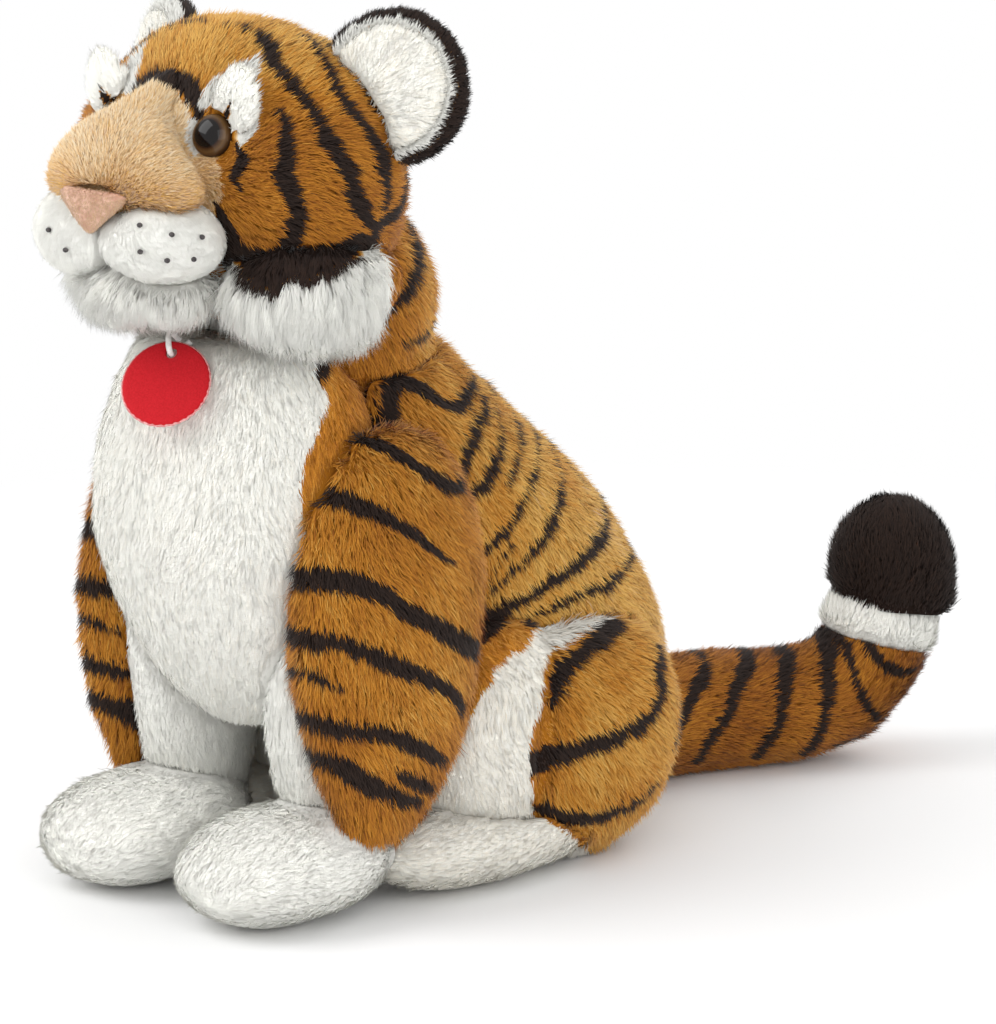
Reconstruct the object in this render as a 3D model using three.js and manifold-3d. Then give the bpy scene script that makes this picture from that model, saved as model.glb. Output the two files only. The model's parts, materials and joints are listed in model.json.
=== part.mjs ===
// A sitting plush tiger, about 36 cm tall, in millimetres with +Z up.
// The tiger looks along -Y, its own left side is +X, and the origin is on the
// floor under the middle of its seat.
//
// Every stuffed part is a lofted form: rings of an ellipse along a spine, with a
// width and a depth that swell and taper. Where two forms meet, the larger one
// cuts the smaller one, and the seam between them is a thin gap.
// Stated sizes are whole widths, depths and heights. Values and tables named
// Share or Shares hold fractions of the size that they follow.

import * as THREE from 'three';
import { mergeVertices } from 'three/addons/utils/BufferGeometryUtils.js';
import Module from 'manifold-3d';

const wasm = await Module();
wasm.setup();

// Clearances and the floor
const seam = 0.35;               // gap between two sewn forms
const floorDip = 0.5;            // how deep each resting form is cut flat
const overrun = 400;             // how far a cutting block reaches past the toy

// Torso, a leaning pear from the seat to the neck
const torsoHeight = 243;
const torsoLean = 124;           // how far the neck end stands forward of the seat
const torsoWidth = 128;
const torsoDepth = 172;
const torsoForwardShares = [0, -0.02, 0.1, 0.31, 0.56, 0.82, 0.96, 1];
const torsoHeightShares = [0, 0.12, 0.29, 0.46, 0.61, 0.75, 0.88, 1];
const torsoWidthShares = [0.88, 0.97, 1, 0.98, 0.97, 0.97, 0.93, 0.84];
const torsoDepthShares = [0.78, 0.84, 0.9, 0.96, 1, 0.96, 0.82, 0.7];

// Neck, a ball in a round hollow of the torso and of the head
const neckBall = 102;            // diameter
const neckBehindTop = 3;         // its middle, behind and below the top of the torso's spine
const neckBelowTop = 7;
const neckPlay = 0.12;           // between the ball's corners and the flats of its hollows
const headClearAngle = 3;        // degrees below level that the head's underside keeps to
const headTurn = 12;             // degrees that the head turns either way
const headTiltUp = 10;           // degrees that the head tips back
const headNodDown = 2;           // degrees that the head nods before its chin touches

// White bib on the chest, a form that the torso is divided by
const bibWidth = 118;
const bibDepth = 92;
const bibAboveNeck = 26;         // the top of its form, above and in front of the neck's middle
const bibAheadOfNeck = 37;
const bibBottom = 66;            // height of the foot of its form
const bibFootBack = 4;           // how far back its foot stands from its top
const bibSwell = 6;              // how far forward its middle bulges
const bibWidthShares = [0.9, 1.05, 1.1, 0.93, 0.74];
const bibDepthShares = [0.9, 1.06, 1.14, 1.02, 0.92];

// Head, placed from the middle of the neck
const headWidth = 150;
const headDepth = 104;
const headHeight = 118;
const headAheadOfNeck = 37;
const headAboveNeck = 55;
const headWidthShares = [0.86, 0.98, 1, 0.99, 0.9];
const headDepthShares = [0.9, 0.98, 1, 0.97, 0.9];

// Muzzle, the short-haired bridge from the brow to the nose, placed from the head's middle
const muzzleWidth = 84;
const muzzleWidthShares = [0.33, 0.33, 0.38, 0.82, 1.1];
const muzzleThickness = 42;
const muzzleBrowAhead = 18;
const muzzleBrowAbove = 35;
const muzzleEndAhead = 68;
const muzzleEndBelow = 7;

// Whisker pads, nose and chin, placed from the end of the muzzle
const padWidth = 45;
const padDepth = 42;
const padHeight = 35;
const padOut = 21;
const padBehind = 10;
const padBelow = 12;
const noseWidth = 34;
const noseHeight = 16;
const noseDepth = 12;
const noseAhead = 9;
const noseAbove = 1;
const chinWidth = 62;
const chinDepth = 46;
const chinHeight = 30;
const chinBehind = 20;
const chinBelow = 32;

// Cheek ruffs, swept back from the chin to below the ear, placed from the head's middle
const ruffWidth = 30;
const ruffHeight = 44;
const ruffBelow = 38;
const ruffInnerOut = 26;
const ruffInnerAhead = 38;
const ruffOuterOut = 66;
const ruffOuterBehind = 24;
const ruffBendOutShare = 0.88;   // where the ruff turns back round the cheek
const ruffBendAheadShare = 0.59;

// Pointed white patches over the eyes
const browLength = 38;
const browWidth = 26;
const browThickness = 9;
const browOut = 35;
const browAbove = 30;            // above the head's middle
const browSlant = 62;            // degrees from level, outer end up

// Eyes on a shank, each held inside by a washer
const eyeDiameter = 17;
const eyeBulge = 6;
const eyeEdge = 1.2;
const eyeOut = 29;
const eyeAbove = 21;             // above the head's middle
const eyeSink = 5;
const shankDiameter = 4;
const shankLength = 15;
const washerDiameter = 16;
const washerThickness = 2;
const washerDepth = 9;           // from the back of the eye to the washer

// Ears, placed from the head's middle and its side
const earDiameter = 61;
const earThickness = 15;
const earInset = 9;              // middle of the ear, inside the widest part of the head
const earBehind = 17;
const earAbove = 36;
const earTurn = 24;              // degrees that the ear faces outwards
const earTip = 10;               // degrees that the ear leans back
const liningDiameter = 47;
const liningDepth = 5;
const liningBulge = 2;
const earRoot = 20;              // from the middle of the ear to the line that it bends about
const earSway = 20;              // degrees that an ear bends either way

// Forelegs, straight, from below the neck to the floor
const forelegWidth = 56;
const forelegDepth = 84;
const forelegOut = 40;
const forelegBelowNeck = 36;     // its top, below and in front of the neck's middle
const forelegAheadOfNeck = 19;
const forelegFootAhead = 10;     // how far its foot stands in front of its top
const forelegWidthShares = [0.8, 0.84, 0.92, 1, 0.9];
const forelegDepthShares = [0.62, 0.66, 0.86, 1, 0.86];

// Striped sleeve on the outer side of a foreleg, placed from the leg's ends
const sleeveWidth = 46;
const sleeveDepth = 104;
const sleeveBottom = 28;         // height of the lower end
const sleeveBelowTop = 2;
const sleeveTopBeside = 20;
const sleeveBottomBeside = 30;
const sleeveTopBehind = 4;
const sleeveBottomAhead = 4;
const sleeveWidthShares = [0.72, 0.86, 0.98, 1, 0.94];
const sleeveDepthShares = [0.66, 0.84, 0.98, 1, 0.86];

// Forepaws, placed from the foot of the foreleg
const forepawWidth = 76;
const forepawLength = 92;
const forepawHeight = 46;
const forepawBeside = 1;
const forepawHeelBehind = 18;
const forepawToeShare = 0.44;    // height of the middle of its toe end

// Haunches
const haunchWidth = 64;
const haunchLength = 112;
const haunchHeight = 108;
const haunchOut = 58;
const haunchForward = 34;
const haunchKneeShare = 0.54;    // height of the middle of its front end

// White front of a haunch and its hind paw, placed from the haunch's middle
const thighWidth = 60;
const thighLength = 92;
const thighHeight = 104;
const thighInside = 4;
const thighAhead = 38;
const thighOffFloor = 6;         // from the floor to the lowest part of its form
const hindPawWidth = 60;
const hindPawLength = 124;
const hindPawHeight = 40;
const hindPawInside = 2;
const hindPawAhead = 48;

// Tail, along the floor and up at its end
const tailDiameter = 52;
const tailRootBack = 40;
const tailStraight = 88;         // where the tail leaves the middle line
const tailRun = 113;             // level distance from there to the upturned end
const tailSkew = 24;             // degrees that the tail lies to the tiger's left
const tailRise = 87;             // how far its end turns up
const tailRingLow = 46;          // heights of the white ring's edges over the end of the run
const tailRingHigh = 64;
const tailRingTilt = 15;         // degrees that the ring falls away outwards
const tailRunShares = [0, 0.5, 0.72, 0.84, 0.93, 1];
const tailRiseShares = [0, 0, 0.05, 0.2, 0.5, 1];
const tailDiameterShares = [1.1, 1.08, 1.02, 0.98, 0.98, 1, 1.08];
const tailSway = 20;             // degrees that the tail swings either way
const tailPivotBack = 58;        // upright line that the tail swings about

// Round tag on a doubled cord, sewn in where the chest meets the neck
const tagDiameter = 35;
const tagThickness = 2.4;
const tagOut = 8;
const tagBelowBibTop = 33;       // from the top of the bib's form down to the tag's seam
const tagTurn = 30;              // degrees that the tag faces to the tiger's left
const tagLean = 34;              // degrees that its foot stands off the chest
const tagHole = 4.4;
const tagHoleInset = 4.6;        // from the rim to the middle of the hole
const loopCord = 1.6;
const loopSpread = 3.2;          // between the two strands where they are sewn in
const loopReach = 7;             // from the seam out to the hole
const loopDrop = 4;              // from the seam down to the hole

// How each form is rounded and faceted. Bluntness 2 rounds its ends as an
// ellipsoid does, and 4 leaves them nearly square.
const rounding = {
  torso: { bluntness: 3.2, rings: 14, sides: 24 },
  bib: { bluntness: 2.4, rings: 11, sides: 22 },
  leg: { bluntness: 2.6, rings: 10, sides: 16 },
  forepaw: { bluntness: 2.4, rings: 9, sides: 16 },
  haunch: { bluntness: 2.2, rings: 12, sides: 16 },
  thigh: { bluntness: 2.2, rings: 9, sides: 16 },
  hindPaw: { bluntness: 2.6, rings: 9, sides: 16 },
  head: { bluntness: 2.2, rings: 11, sides: 22 },
  muzzle: { bluntness: 3, rings: 12, sides: 20 },
  pad: { bluntness: 2.4, rings: 8, sides: 16 },
  nose: { bluntness: 2, rings: 6, sides: 12 },
  chin: { bluntness: 2, rings: 8, sides: 16 },
  ruff: { bluntness: 2.2, rings: 8, sides: 16 },
  brow: { bluntness: 2, rings: 8, sides: 14 },
  tail: { bluntness: 4, rings: 18, sides: 16 },
};
const ball = { rings: 14, sides: 24 };
const turnedSides = { cone: 24, eye: 14, ear: 20, tag: 36, hole: 12 };
const domeSteps = 4;             // rings of an eye's dome
const rimSteps = 6;              // steps round an ear's rim
const swingSteps = 4;            // places of a swing that a moving piece is cut at

const materials = {
  striped: new THREE.MeshStandardMaterial({ color: 0xb9772b, roughness: 0.95, metalness: 0 }),
  white: new THREE.MeshStandardMaterial({ color: 0xf1eee8, roughness: 0.95, metalness: 0 }),
  tan: new THREE.MeshStandardMaterial({ color: 0xd3a571, roughness: 0.95, metalness: 0 }),
  pink: new THREE.MeshStandardMaterial({ color: 0xd7a58f, roughness: 0.9, metalness: 0 }),
  black: new THREE.MeshStandardMaterial({ color: 0x231a16, roughness: 0.95, metalness: 0 }),
  eye: new THREE.MeshStandardMaterial({ color: 0x6b4219, roughness: 0.08, metalness: 0 }),
  washer: new THREE.MeshStandardMaterial({ color: 0xe6e4dc, roughness: 0.5, metalness: 0 }),
  felt: new THREE.MeshStandardMaterial({ color: 0xc4161f, roughness: 0.9, metalness: 0 }),
  cord: new THREE.MeshStandardMaterial({ color: 0xf4f2ee, roughness: 0.8, metalness: 0 }),
};

const place = (out, forward, height) => new THREE.Vector3(out, -forward, height);
const radians = THREE.MathUtils.degToRad;

// A closed geometry as a solid: its vertices are welded, and flat slivers dropped.
function solidOf(geometry) {
  const bare = geometry.clone();
  bare.deleteAttribute('normal');
  bare.deleteAttribute('uv');
  const welded = mergeVertices(bare);
  const index = Array.from(welded.index.array);
  const triVerts = [];
  for (let i = 0; i < index.length; i += 3) {
    const [a, b, c] = index.slice(i, i + 3);
    if (a !== b && b !== c && c !== a) triVerts.push(a, b, c);
  }
  return new wasm.Manifold(new wasm.Mesh({
    numProp: 3,
    vertProperties: new Float32Array(welded.attributes.position.array),
    triVerts: new Uint32Array(triVerts),
  }));
}

// The value of a table of shares part of the way along it.
function shareAt(shares, along) {
  if (shares.length === 1) return shares[0];
  const last = shares.length - 1;
  const curve = new THREE.SplineCurve(shares.map((share, i) => new THREE.Vector2(i / last, share)));
  return curve.getPoint(along).y;
}

// A stuffed form. Its rings are ellipses along the spine, close together near
// both ends, and bluntness 2 rounds the ends as an ellipsoid. Level rings stay
// parallel to the floor. With grow the form is that much larger all round.
function stuffed(form, grow = 0) {
  const { spine, width, depth, widthShares = [1], depthShares = [1] } = form;
  const { bluntness, rings, sides, level = false } = form;
  const curve = new THREE.CatmullRomCurve3(spine, false, 'centripetal');
  const positions = [];
  const sideways = form.sideways ?? new THREE.Vector3(1, 0, 0);
  for (let ring = 0; ring <= rings; ring += 1) {
    const along = (1 - Math.cos(Math.PI * ring / rings)) / 2;
    const end = 2 * along - 1;
    const tangent = curve.getTangentAt(along);
    const middle = curve.getPointAt(along).addScaledVector(tangent, end * grow);
    if (ring === 0 || ring === rings) {
      positions.push(...middle.toArray());
      continue;
    }
    const normal = level ? new THREE.Vector3(0, 0, Math.sign(tangent.z)) : tangent;
    const across = sideways.clone().addScaledVector(normal, -sideways.dot(normal)).normalize();
    const over = new THREE.Vector3().crossVectors(normal, across);
    const cap = (1 - Math.abs(end) ** bluntness) ** (1 / bluntness);
    const halfWidth = cap * (width / 2 * shareAt(widthShares, along) + grow);
    const halfDepth = cap * (depth / 2 * shareAt(depthShares, along) + grow);
    for (let side = 0; side < sides; side += 1) {
      const angle = 2 * Math.PI * side / sides;
      const point = middle.clone()
        .addScaledVector(across, halfWidth * Math.cos(angle))
        .addScaledVector(over, halfDepth * Math.sin(angle));
      positions.push(...point.toArray());
    }
  }
  const faces = [];
  const vertex = (ring, side) => 1 + (ring - 1) * sides + (side % sides);
  const top = 1 + (rings - 1) * sides;
  for (let side = 0; side < sides; side += 1) {
    faces.push(0, vertex(1, side + 1), vertex(1, side));
    faces.push(top, vertex(rings - 1, side), vertex(rings - 1, side + 1));
    for (let ring = 1; ring < rings - 1; ring += 1) {
      faces.push(vertex(ring, side), vertex(ring, side + 1), vertex(ring + 1, side + 1));
      faces.push(vertex(ring, side), vertex(ring + 1, side + 1), vertex(ring + 1, side));
    }
  }
  const geometry = new THREE.BufferGeometry();
  geometry.setAttribute('position', new THREE.Float32BufferAttribute(positions, 3));
  geometry.setIndex(faces);
  return geometry;
}

// A form as a pair: its own solid, and the larger solid that cuts its neighbours.
function formed(form, drop = 0) {
  const shift = [0, 0, -drop];
  return {
    own: solidOf(stuffed(form)).translate(shift),
    cutter: solidOf(stuffed(form, seam)).translate(shift),
  };
}

// The same pair, moved up or down until it dips into the floor by floorDip.
function formedOnFloor(form) {
  const geometry = stuffed(form);
  geometry.computeBoundingBox();
  return formed(form, geometry.boundingBox.min.z + floorDip);
}

// A plain egg: a straight spine between two points.
function egg(from, to, width, depth, round) {
  return { spine: [from, from.clone().lerp(to, 0.5), to], width, depth, ...round };
}

function cutBy(solid, ...forms) {
  let result = solid;
  for (const other of forms) result = result.subtract(other.cutter ?? other);
  return result;
}

// A solid turned by some degrees about an axis through a point.
function turnedAbout(solid, point, axis, degrees) {
  const matrix = new THREE.Matrix4().makeTranslation(point)
    .multiply(new THREE.Matrix4().makeRotationAxis(axis, radians(degrees)))
    .multiply(new THREE.Matrix4().makeTranslation(point.clone().negate()));
  return solid.transform(matrix.elements);
}

// What is left of a moving solid once a fixed one has cleared its whole swing.
function cutOverSwing(solid, fixed, point, axis, degrees) {
  let result = solid;
  for (let step = 0; step <= swingSteps; step += 1) {
    const angle = degrees * (2 * step / swingSteps - 1);
    result = result.subtract(turnedAbout(fixed.cutter, point, axis, angle));
  }
  return result;
}

const floorBlock = solidOf(
  new THREE.BoxGeometry(2 * overrun, 2 * overrun, overrun).translate(0, 0, -overrun / 2),
);

function largest(solid) {
  const parts = solid.decompose();
  return parts.reduce((best, part) => (part.volume() > best.volume() ? part : best));
}

// A group that turns about its own origin, placed at that point of the toy.
function jointed(parent, pivot) {
  const group = new THREE.Group();
  group.userData.pivot = pivot;
  group.position.copy(pivot).sub(parent.userData.pivot);
  parent.add(group);
  return group;
}

function mesh(group, name, solid, material) {
  const { vertProperties, triVerts } = largest(solid).getMesh();
  const geometry = new THREE.BufferGeometry();
  geometry.setAttribute('position', new THREE.BufferAttribute(vertProperties, 3));
  geometry.setIndex(new THREE.BufferAttribute(triVerts, 1));
  geometry.computeVertexNormals();
  geometry.translate(...group.userData.pivot.clone().negate());
  const piece = new THREE.Mesh(geometry, material);
  piece.name = name;
  group.add(piece);
}

// A turned solid about the Z axis, from a profile of [radius, height] points.
function turned(profile, segments) {
  const points = profile.map(([radius, height]) => new THREE.Vector2(radius, height));
  return new THREE.LatheGeometry(points, segments).rotateX(Math.PI / 2);
}

// Places of the main forms, each worked out from what carries it
const neckForward = torsoLean - neckBehindTop;
const neckHeight = torsoHeight - neckBelowTop;
const bibTop = neckHeight + bibAboveNeck;
const bibTopForward = neckForward + bibAheadOfNeck;
const bibBottomForward = bibTopForward - bibFootBack;
const headForward = neckForward + headAheadOfNeck;
const headCentre = neckHeight + headAboveNeck;
const muzzleEnd = { forward: headForward + muzzleEndAhead, height: headCentre - muzzleEndBelow };

// Torso and bib
const torsoSpine = torsoHeightShares.map((share, i) =>
  place(0, torsoLean * torsoForwardShares[i], torsoHeight * share));
const torso = formedOnFloor({
  spine: torsoSpine, width: torsoWidth, depth: torsoDepth,
  widthShares: torsoWidthShares, depthShares: torsoDepthShares,
  ...rounding.torso, level: true,
});
const bibMiddleForward = (bibBottomForward + bibTopForward) / 2 + bibSwell;
const bib = formed({
  spine: [place(0, bibBottomForward, bibBottom), place(0, bibMiddleForward, (bibBottom + bibTop) / 2),
    place(0, bibTopForward, bibTop)],
  width: bibWidth, depth: bibDepth,
  widthShares: bibWidthShares, depthShares: bibDepthShares, ...rounding.bib,
});

// Neck ball
const neckPivot = place(0, neckForward, neckHeight);
const ballAt = (radius) => solidOf(new THREE.SphereGeometry(radius, ball.sides, ball.rings))
  .translate(neckPivot.toArray());
// The hollow's flat facets have to clear the ball's corners when it turns.
const hollowRadius = (neckBall / 2 + neckPlay)
  / Math.cos(Math.PI / ball.sides) / Math.cos(Math.PI / ball.rings / 2);
const neck = { own: ballAt(neckBall / 2), cutter: ballAt(hollowRadius) };

// The head's underside keeps to a shallow cone round the neck. The body keeps
// clear of that cone wherever the head turns and nods.
const coneFall = overrun * Math.tan(radians(headClearAngle));
const underHead = solidOf(turned(
  [[0, -overrun], [overrun, -overrun], [overrun, -coneFall], [0, 0]], turnedSides.cone,
)).translate(neckPivot.toArray());
const headSpace = solidOf(turned(
  [[0, 0], [overrun, -coneFall], [overrun, overrun], [0, overrun]], turnedSides.cone,
)).translate(neckPivot.toArray());
const xAxis = new THREE.Vector3(1, 0, 0);
const yAxis = new THREE.Vector3(0, 1, 0);
const zAxis = new THREE.Vector3(0, 0, 1);
const headRooms = [];
for (const turn of [-headTurn, 0, headTurn]) {
  for (const nod of [-headNodDown, headTiltUp]) {
    const nodded = turnedAbout(headSpace, neckPivot, xAxis, -nod);
    headRooms.push(turnedAbout(nodded, neckPivot, zAxis, turn).translate([0, 0, -seam]));
  }
}

// Limbs of one side
function limbs(side) {
  const legTop = { forward: neckForward + forelegAheadOfNeck, height: neckHeight - forelegBelowNeck };
  const legFoot = legTop.forward + forelegFootAhead;
  const foreleg = formed({
    spine: [place(side * forelegOut, legFoot, floorDip),
      place(side * forelegOut, legFoot, legTop.height / 2),
      place(side * forelegOut, legTop.forward, legTop.height)],
    width: forelegWidth, depth: forelegDepth,
    widthShares: forelegWidthShares, depthShares: forelegDepthShares, ...rounding.leg,
  });
  const sleeve = formed({
    spine: [
      place(side * (forelegOut + sleeveBottomBeside), legFoot + sleeveBottomAhead, sleeveBottom),
      place(side * (forelegOut + sleeveTopBeside), legTop.forward - sleeveTopBehind,
        legTop.height - sleeveBelowTop),
    ],
    width: sleeveWidth, depth: sleeveDepth,
    widthShares: sleeveWidthShares, depthShares: sleeveDepthShares, ...rounding.leg,
  });
  const forepawOut = forelegOut + forepawBeside;
  const forepawHeel = legFoot - forepawHeelBehind;
  const forepaw = formedOnFloor(egg(
    place(side * forepawOut, forepawHeel + forepawLength, forepawHeight * forepawToeShare),
    place(side * forepawOut, forepawHeel, forepawHeight * (1 - forepawToeShare)),
    forepawWidth, forepawHeight, rounding.forepaw,
  ));
  const haunch = formedOnFloor(egg(
    place(side * haunchOut, haunchForward + haunchLength / 2, haunchHeight * haunchKneeShare),
    place(side * haunchOut, haunchForward - haunchLength / 2, haunchHeight * (1 - haunchKneeShare)),
    haunchWidth, haunchHeight, rounding.haunch,
  ));
  const thighOut = haunchOut - thighInside;
  const thighForward = haunchForward + thighAhead;
  const thighCentre = thighOffFloor + thighHeight / 2;
  const thigh = formed(egg(
    place(side * thighOut, thighForward + thighLength / 2, thighCentre),
    place(side * thighOut, thighForward - thighLength / 2, thighCentre),
    thighWidth, thighHeight, rounding.thigh,
  ));
  const hindPawOut = haunchOut - hindPawInside;
  const hindPawForward = haunchForward + hindPawAhead;
  const hindPaw = formedOnFloor(egg(
    place(side * hindPawOut, hindPawForward + hindPawLength / 2, hindPawHeight / 2),
    place(side * hindPawOut, hindPawForward - hindPawLength / 2, hindPawHeight / 2),
    hindPawWidth, hindPawHeight, rounding.hindPaw,
  ));
  return { foreleg, sleeve, forepaw, haunch, thigh, hindPaw };
}

const sides = { left: limbs(1), right: limbs(-1) };
const tiger = new THREE.Group();
tiger.userData.pivot = place(0, 0, 0);
const grounded = (solid) => solid.subtract(floorBlock);

mesh(tiger, 'torso_back', grounded(cutBy(torso.own, neck, bib, ...headRooms)), materials.striped);
mesh(tiger, 'chest_bib', cutBy(bib.own, neck, ...headRooms), materials.white);
for (const [name, limb] of Object.entries(sides)) {
  const { foreleg, sleeve, forepaw, haunch, thigh, hindPaw } = limb;
  const pieces = {
    haunch: [cutBy(haunch.own, torso), materials.striped],
    foreleg: [cutBy(foreleg.own, torso, bib, sleeve, forepaw), materials.white],
    sleeve: [cutBy(sleeve.own, torso, bib, forepaw), materials.striped],
    forepaw: [cutBy(forepaw.own, torso), materials.white],
    thigh_front: [cutBy(thigh.own, torso, haunch, sleeve, foreleg), materials.white],
    hind_paw: [cutBy(hindPaw.own, torso, haunch, thigh, forepaw, foreleg, sleeve), materials.white],
  };
  for (const [piece, [solid, material]] of Object.entries(pieces)) {
    mesh(tiger, `${piece}_${name}`, grounded(solid), material);
  }
}

// Head
const headMiddle = place(0, headForward, headCentre);
const head = formed({
  spine: [-1, 0, 1].map((end) => place(0, headForward, headCentre + end * headHeight / 2)),
  width: headWidth, depth: headDepth,
  widthShares: headWidthShares, depthShares: headDepthShares,
  ...rounding.head, level: true,
});
const muzzle = formed(egg(
  place(0, headForward + muzzleBrowAhead, headCentre + muzzleBrowAbove),
  place(0, muzzleEnd.forward, muzzleEnd.height),
  muzzleWidth, muzzleThickness, { widthShares: muzzleWidthShares, ...rounding.muzzle },
));
const noseForward = muzzleEnd.forward + noseAhead;
const noseCentre = muzzleEnd.height + noseAbove;
const nose = formed(egg(
  place(0, noseForward - noseDepth / 2, noseCentre), place(0, noseForward + noseDepth / 2, noseCentre),
  noseWidth, noseHeight, rounding.nose,
));
const chinForward = muzzleEnd.forward - chinBehind;
const chinCentre = muzzleEnd.height - chinBelow;
const chin = formed(egg(
  place(-chinWidth / 2, chinForward, chinCentre), place(chinWidth / 2, chinForward, chinCentre),
  chinDepth, chinHeight, { sideways: yAxis, ...rounding.chin },
));

function faceOf(side) {
  const padForward = muzzleEnd.forward - padBehind;
  const padCentre = muzzleEnd.height - padBelow;
  const pad = formed(egg(
    place(side * padOut, padForward - padDepth / 2, padCentre),
    place(side * padOut, padForward + padDepth / 2, padCentre),
    padWidth, padHeight, rounding.pad,
  ));
  const ruffCentre = headCentre - ruffBelow;
  const ruff = formed({
    spine: [
      place(side * ruffInnerOut, headForward + ruffInnerAhead, ruffCentre),
      place(side * ruffOuterOut * ruffBendOutShare, headForward + ruffInnerAhead * ruffBendAheadShare,
        ruffCentre),
      place(side * ruffOuterOut, headForward - ruffOuterBehind, ruffCentre),
    ],
    width: ruffWidth, depth: ruffHeight, ...rounding.ruff,
  });
  const browMiddle = place(side * browOut, 0, headCentre + browAbove);
  browMiddle.y = onHead(browMiddle);
  const browAxis = new THREE.Vector3(side * Math.cos(radians(browSlant)), 0, Math.sin(radians(browSlant)));
  const brow = formed(egg(
    browMiddle.clone().addScaledVector(browAxis, -browLength / 2),
    browMiddle.clone().addScaledVector(browAxis, browLength / 2),
    browThickness, browWidth, { sideways: yAxis, ...rounding.brow },
  ));
  return { pad, ruff, brow };
}

// Where the front of the head's plain egg lies above and beside its middle.
function onHead(point) {
  const out = (point.x - headMiddle.x) / (headWidth / 2);
  const up = (point.z - headMiddle.z) / (headHeight / 2);
  return headMiddle.y - headDepth / 2 * Math.sqrt(Math.max(0, 1 - out ** 2 - up ** 2));
}

// An eye is a dome with a shank behind it, and its washer is pushed on inside.
function eyeOf(side) {
  const dome = [];
  for (let step = 0; step <= domeSteps; step += 1) {
    const angle = Math.PI / 2 * (1 - step / domeSteps);
    dome.push([eyeDiameter / 2 * Math.sin(angle), eyeEdge + eyeBulge * Math.cos(angle)]);
  }
  const middle = place(side * eyeOut, 0, headCentre + eyeAbove);
  middle.y = onHead(middle);
  const outward = new THREE.Vector3(
    (middle.x - headMiddle.x) / headWidth ** 2,
    (middle.y - headMiddle.y) / headDepth ** 2,
    (middle.z - headMiddle.z) / headHeight ** 2,
  ).normalize();
  const pose = new THREE.Matrix4().compose(
    middle.clone().addScaledVector(outward, -eyeSink),
    new THREE.Quaternion().setFromUnitVectors(zAxis, outward),
    new THREE.Vector3(1, 1, 1),
  );
  const shank = shankDiameter / 2;
  const posed = (profile) => solidOf(turned(profile, turnedSides.eye).applyMatrix4(pose));
  const eye = posed([[0, -shankLength], [shank, -shankLength], [shank, 0], [eyeDiameter / 2, 0], ...dome]);
  const low = -washerDepth - washerThickness;
  const socket = posed([
    [0, -shankLength - seam], [shank + seam, -shankLength - seam],
    [shank + seam, low - seam], [washerDiameter / 2 + seam, low - seam],
    [washerDiameter / 2 + seam, -washerDepth + seam], [shank + seam, -washerDepth + seam],
    [shank + seam, -seam], [eyeDiameter / 2 + seam, -seam],
    [eyeDiameter / 2 + seam, eyeEdge], [eyeDiameter / 2 + seam, eyeEdge + 2 * eyeBulge],
    [0, eyeEdge + 2 * eyeBulge],
  ]);
  const inner = shank + seam;
  const washer = posed([
    [inner, low], [washerDiameter / 2, low], [washerDiameter / 2, -washerDepth],
    [inner, -washerDepth], [inner, low],
  ]);
  return { eye, socket, washer };
}

// An ear is a thick round disc, dished in front for its white lining.
function earOf(side) {
  const half = earThickness / 2;
  const rim = earDiameter / 2 - half;
  const profile = [[0, -half]];
  for (let step = 0; step <= rimSteps; step += 1) {
    const angle = Math.PI * (step / rimSteps - 0.5);
    profile.push([rim + half * Math.cos(angle), half * Math.sin(angle)]);
  }
  const dish = half - liningDepth;
  const lined = liningDiameter / 2;
  const earOut = headWidth / 2 - earInset;
  const middle = place(side * earOut, headForward - earBehind, headCentre + earAbove);
  const pose = new THREE.Matrix4().compose(
    middle,
    new THREE.Quaternion().setFromEuler(new THREE.Euler(
      Math.PI / 2 - radians(earTip), 0, side * radians(earTurn), 'ZYX')),
    new THREE.Vector3(1, 1, 1),
  );
  const facing = zAxis.clone().transformDirection(pose);
  const rootward = headMiddle.clone().sub(middle).projectOnPlane(facing).normalize();
  const hinge = middle.clone().addScaledVector(rootward, earRoot);
  const axis = new THREE.Vector3().crossVectors(facing, rootward).normalize();
  const posed = (points) => cutOverSwing(
    solidOf(turned(points, turnedSides.ear).applyMatrix4(pose)), head, hinge, axis, earSway,
  );
  const back = posed([...profile, [lined + seam, half], [lined + seam, dish], [0, dish]]);
  const lining = posed([
    [0, dish + seam], [lined, dish + seam], [lined, half - liningBulge], [lined - liningBulge, half],
    [0, half],
  ]);
  return { back, lining, hinge };
}

const neckGroup = jointed(tiger, neckPivot);
const headGroup = jointed(neckGroup, neckPivot);
const eyes = { left: eyeOf(1), right: eyeOf(-1) };
const faces = { left: faceOf(1), right: faceOf(-1) };
const ears = { left: earOf(1), right: earOf(-1) };
const sockets = Object.values(eyes).map((eye) => eye.socket);
const pads = Object.values(faces).map((face) => face.pad);

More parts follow.
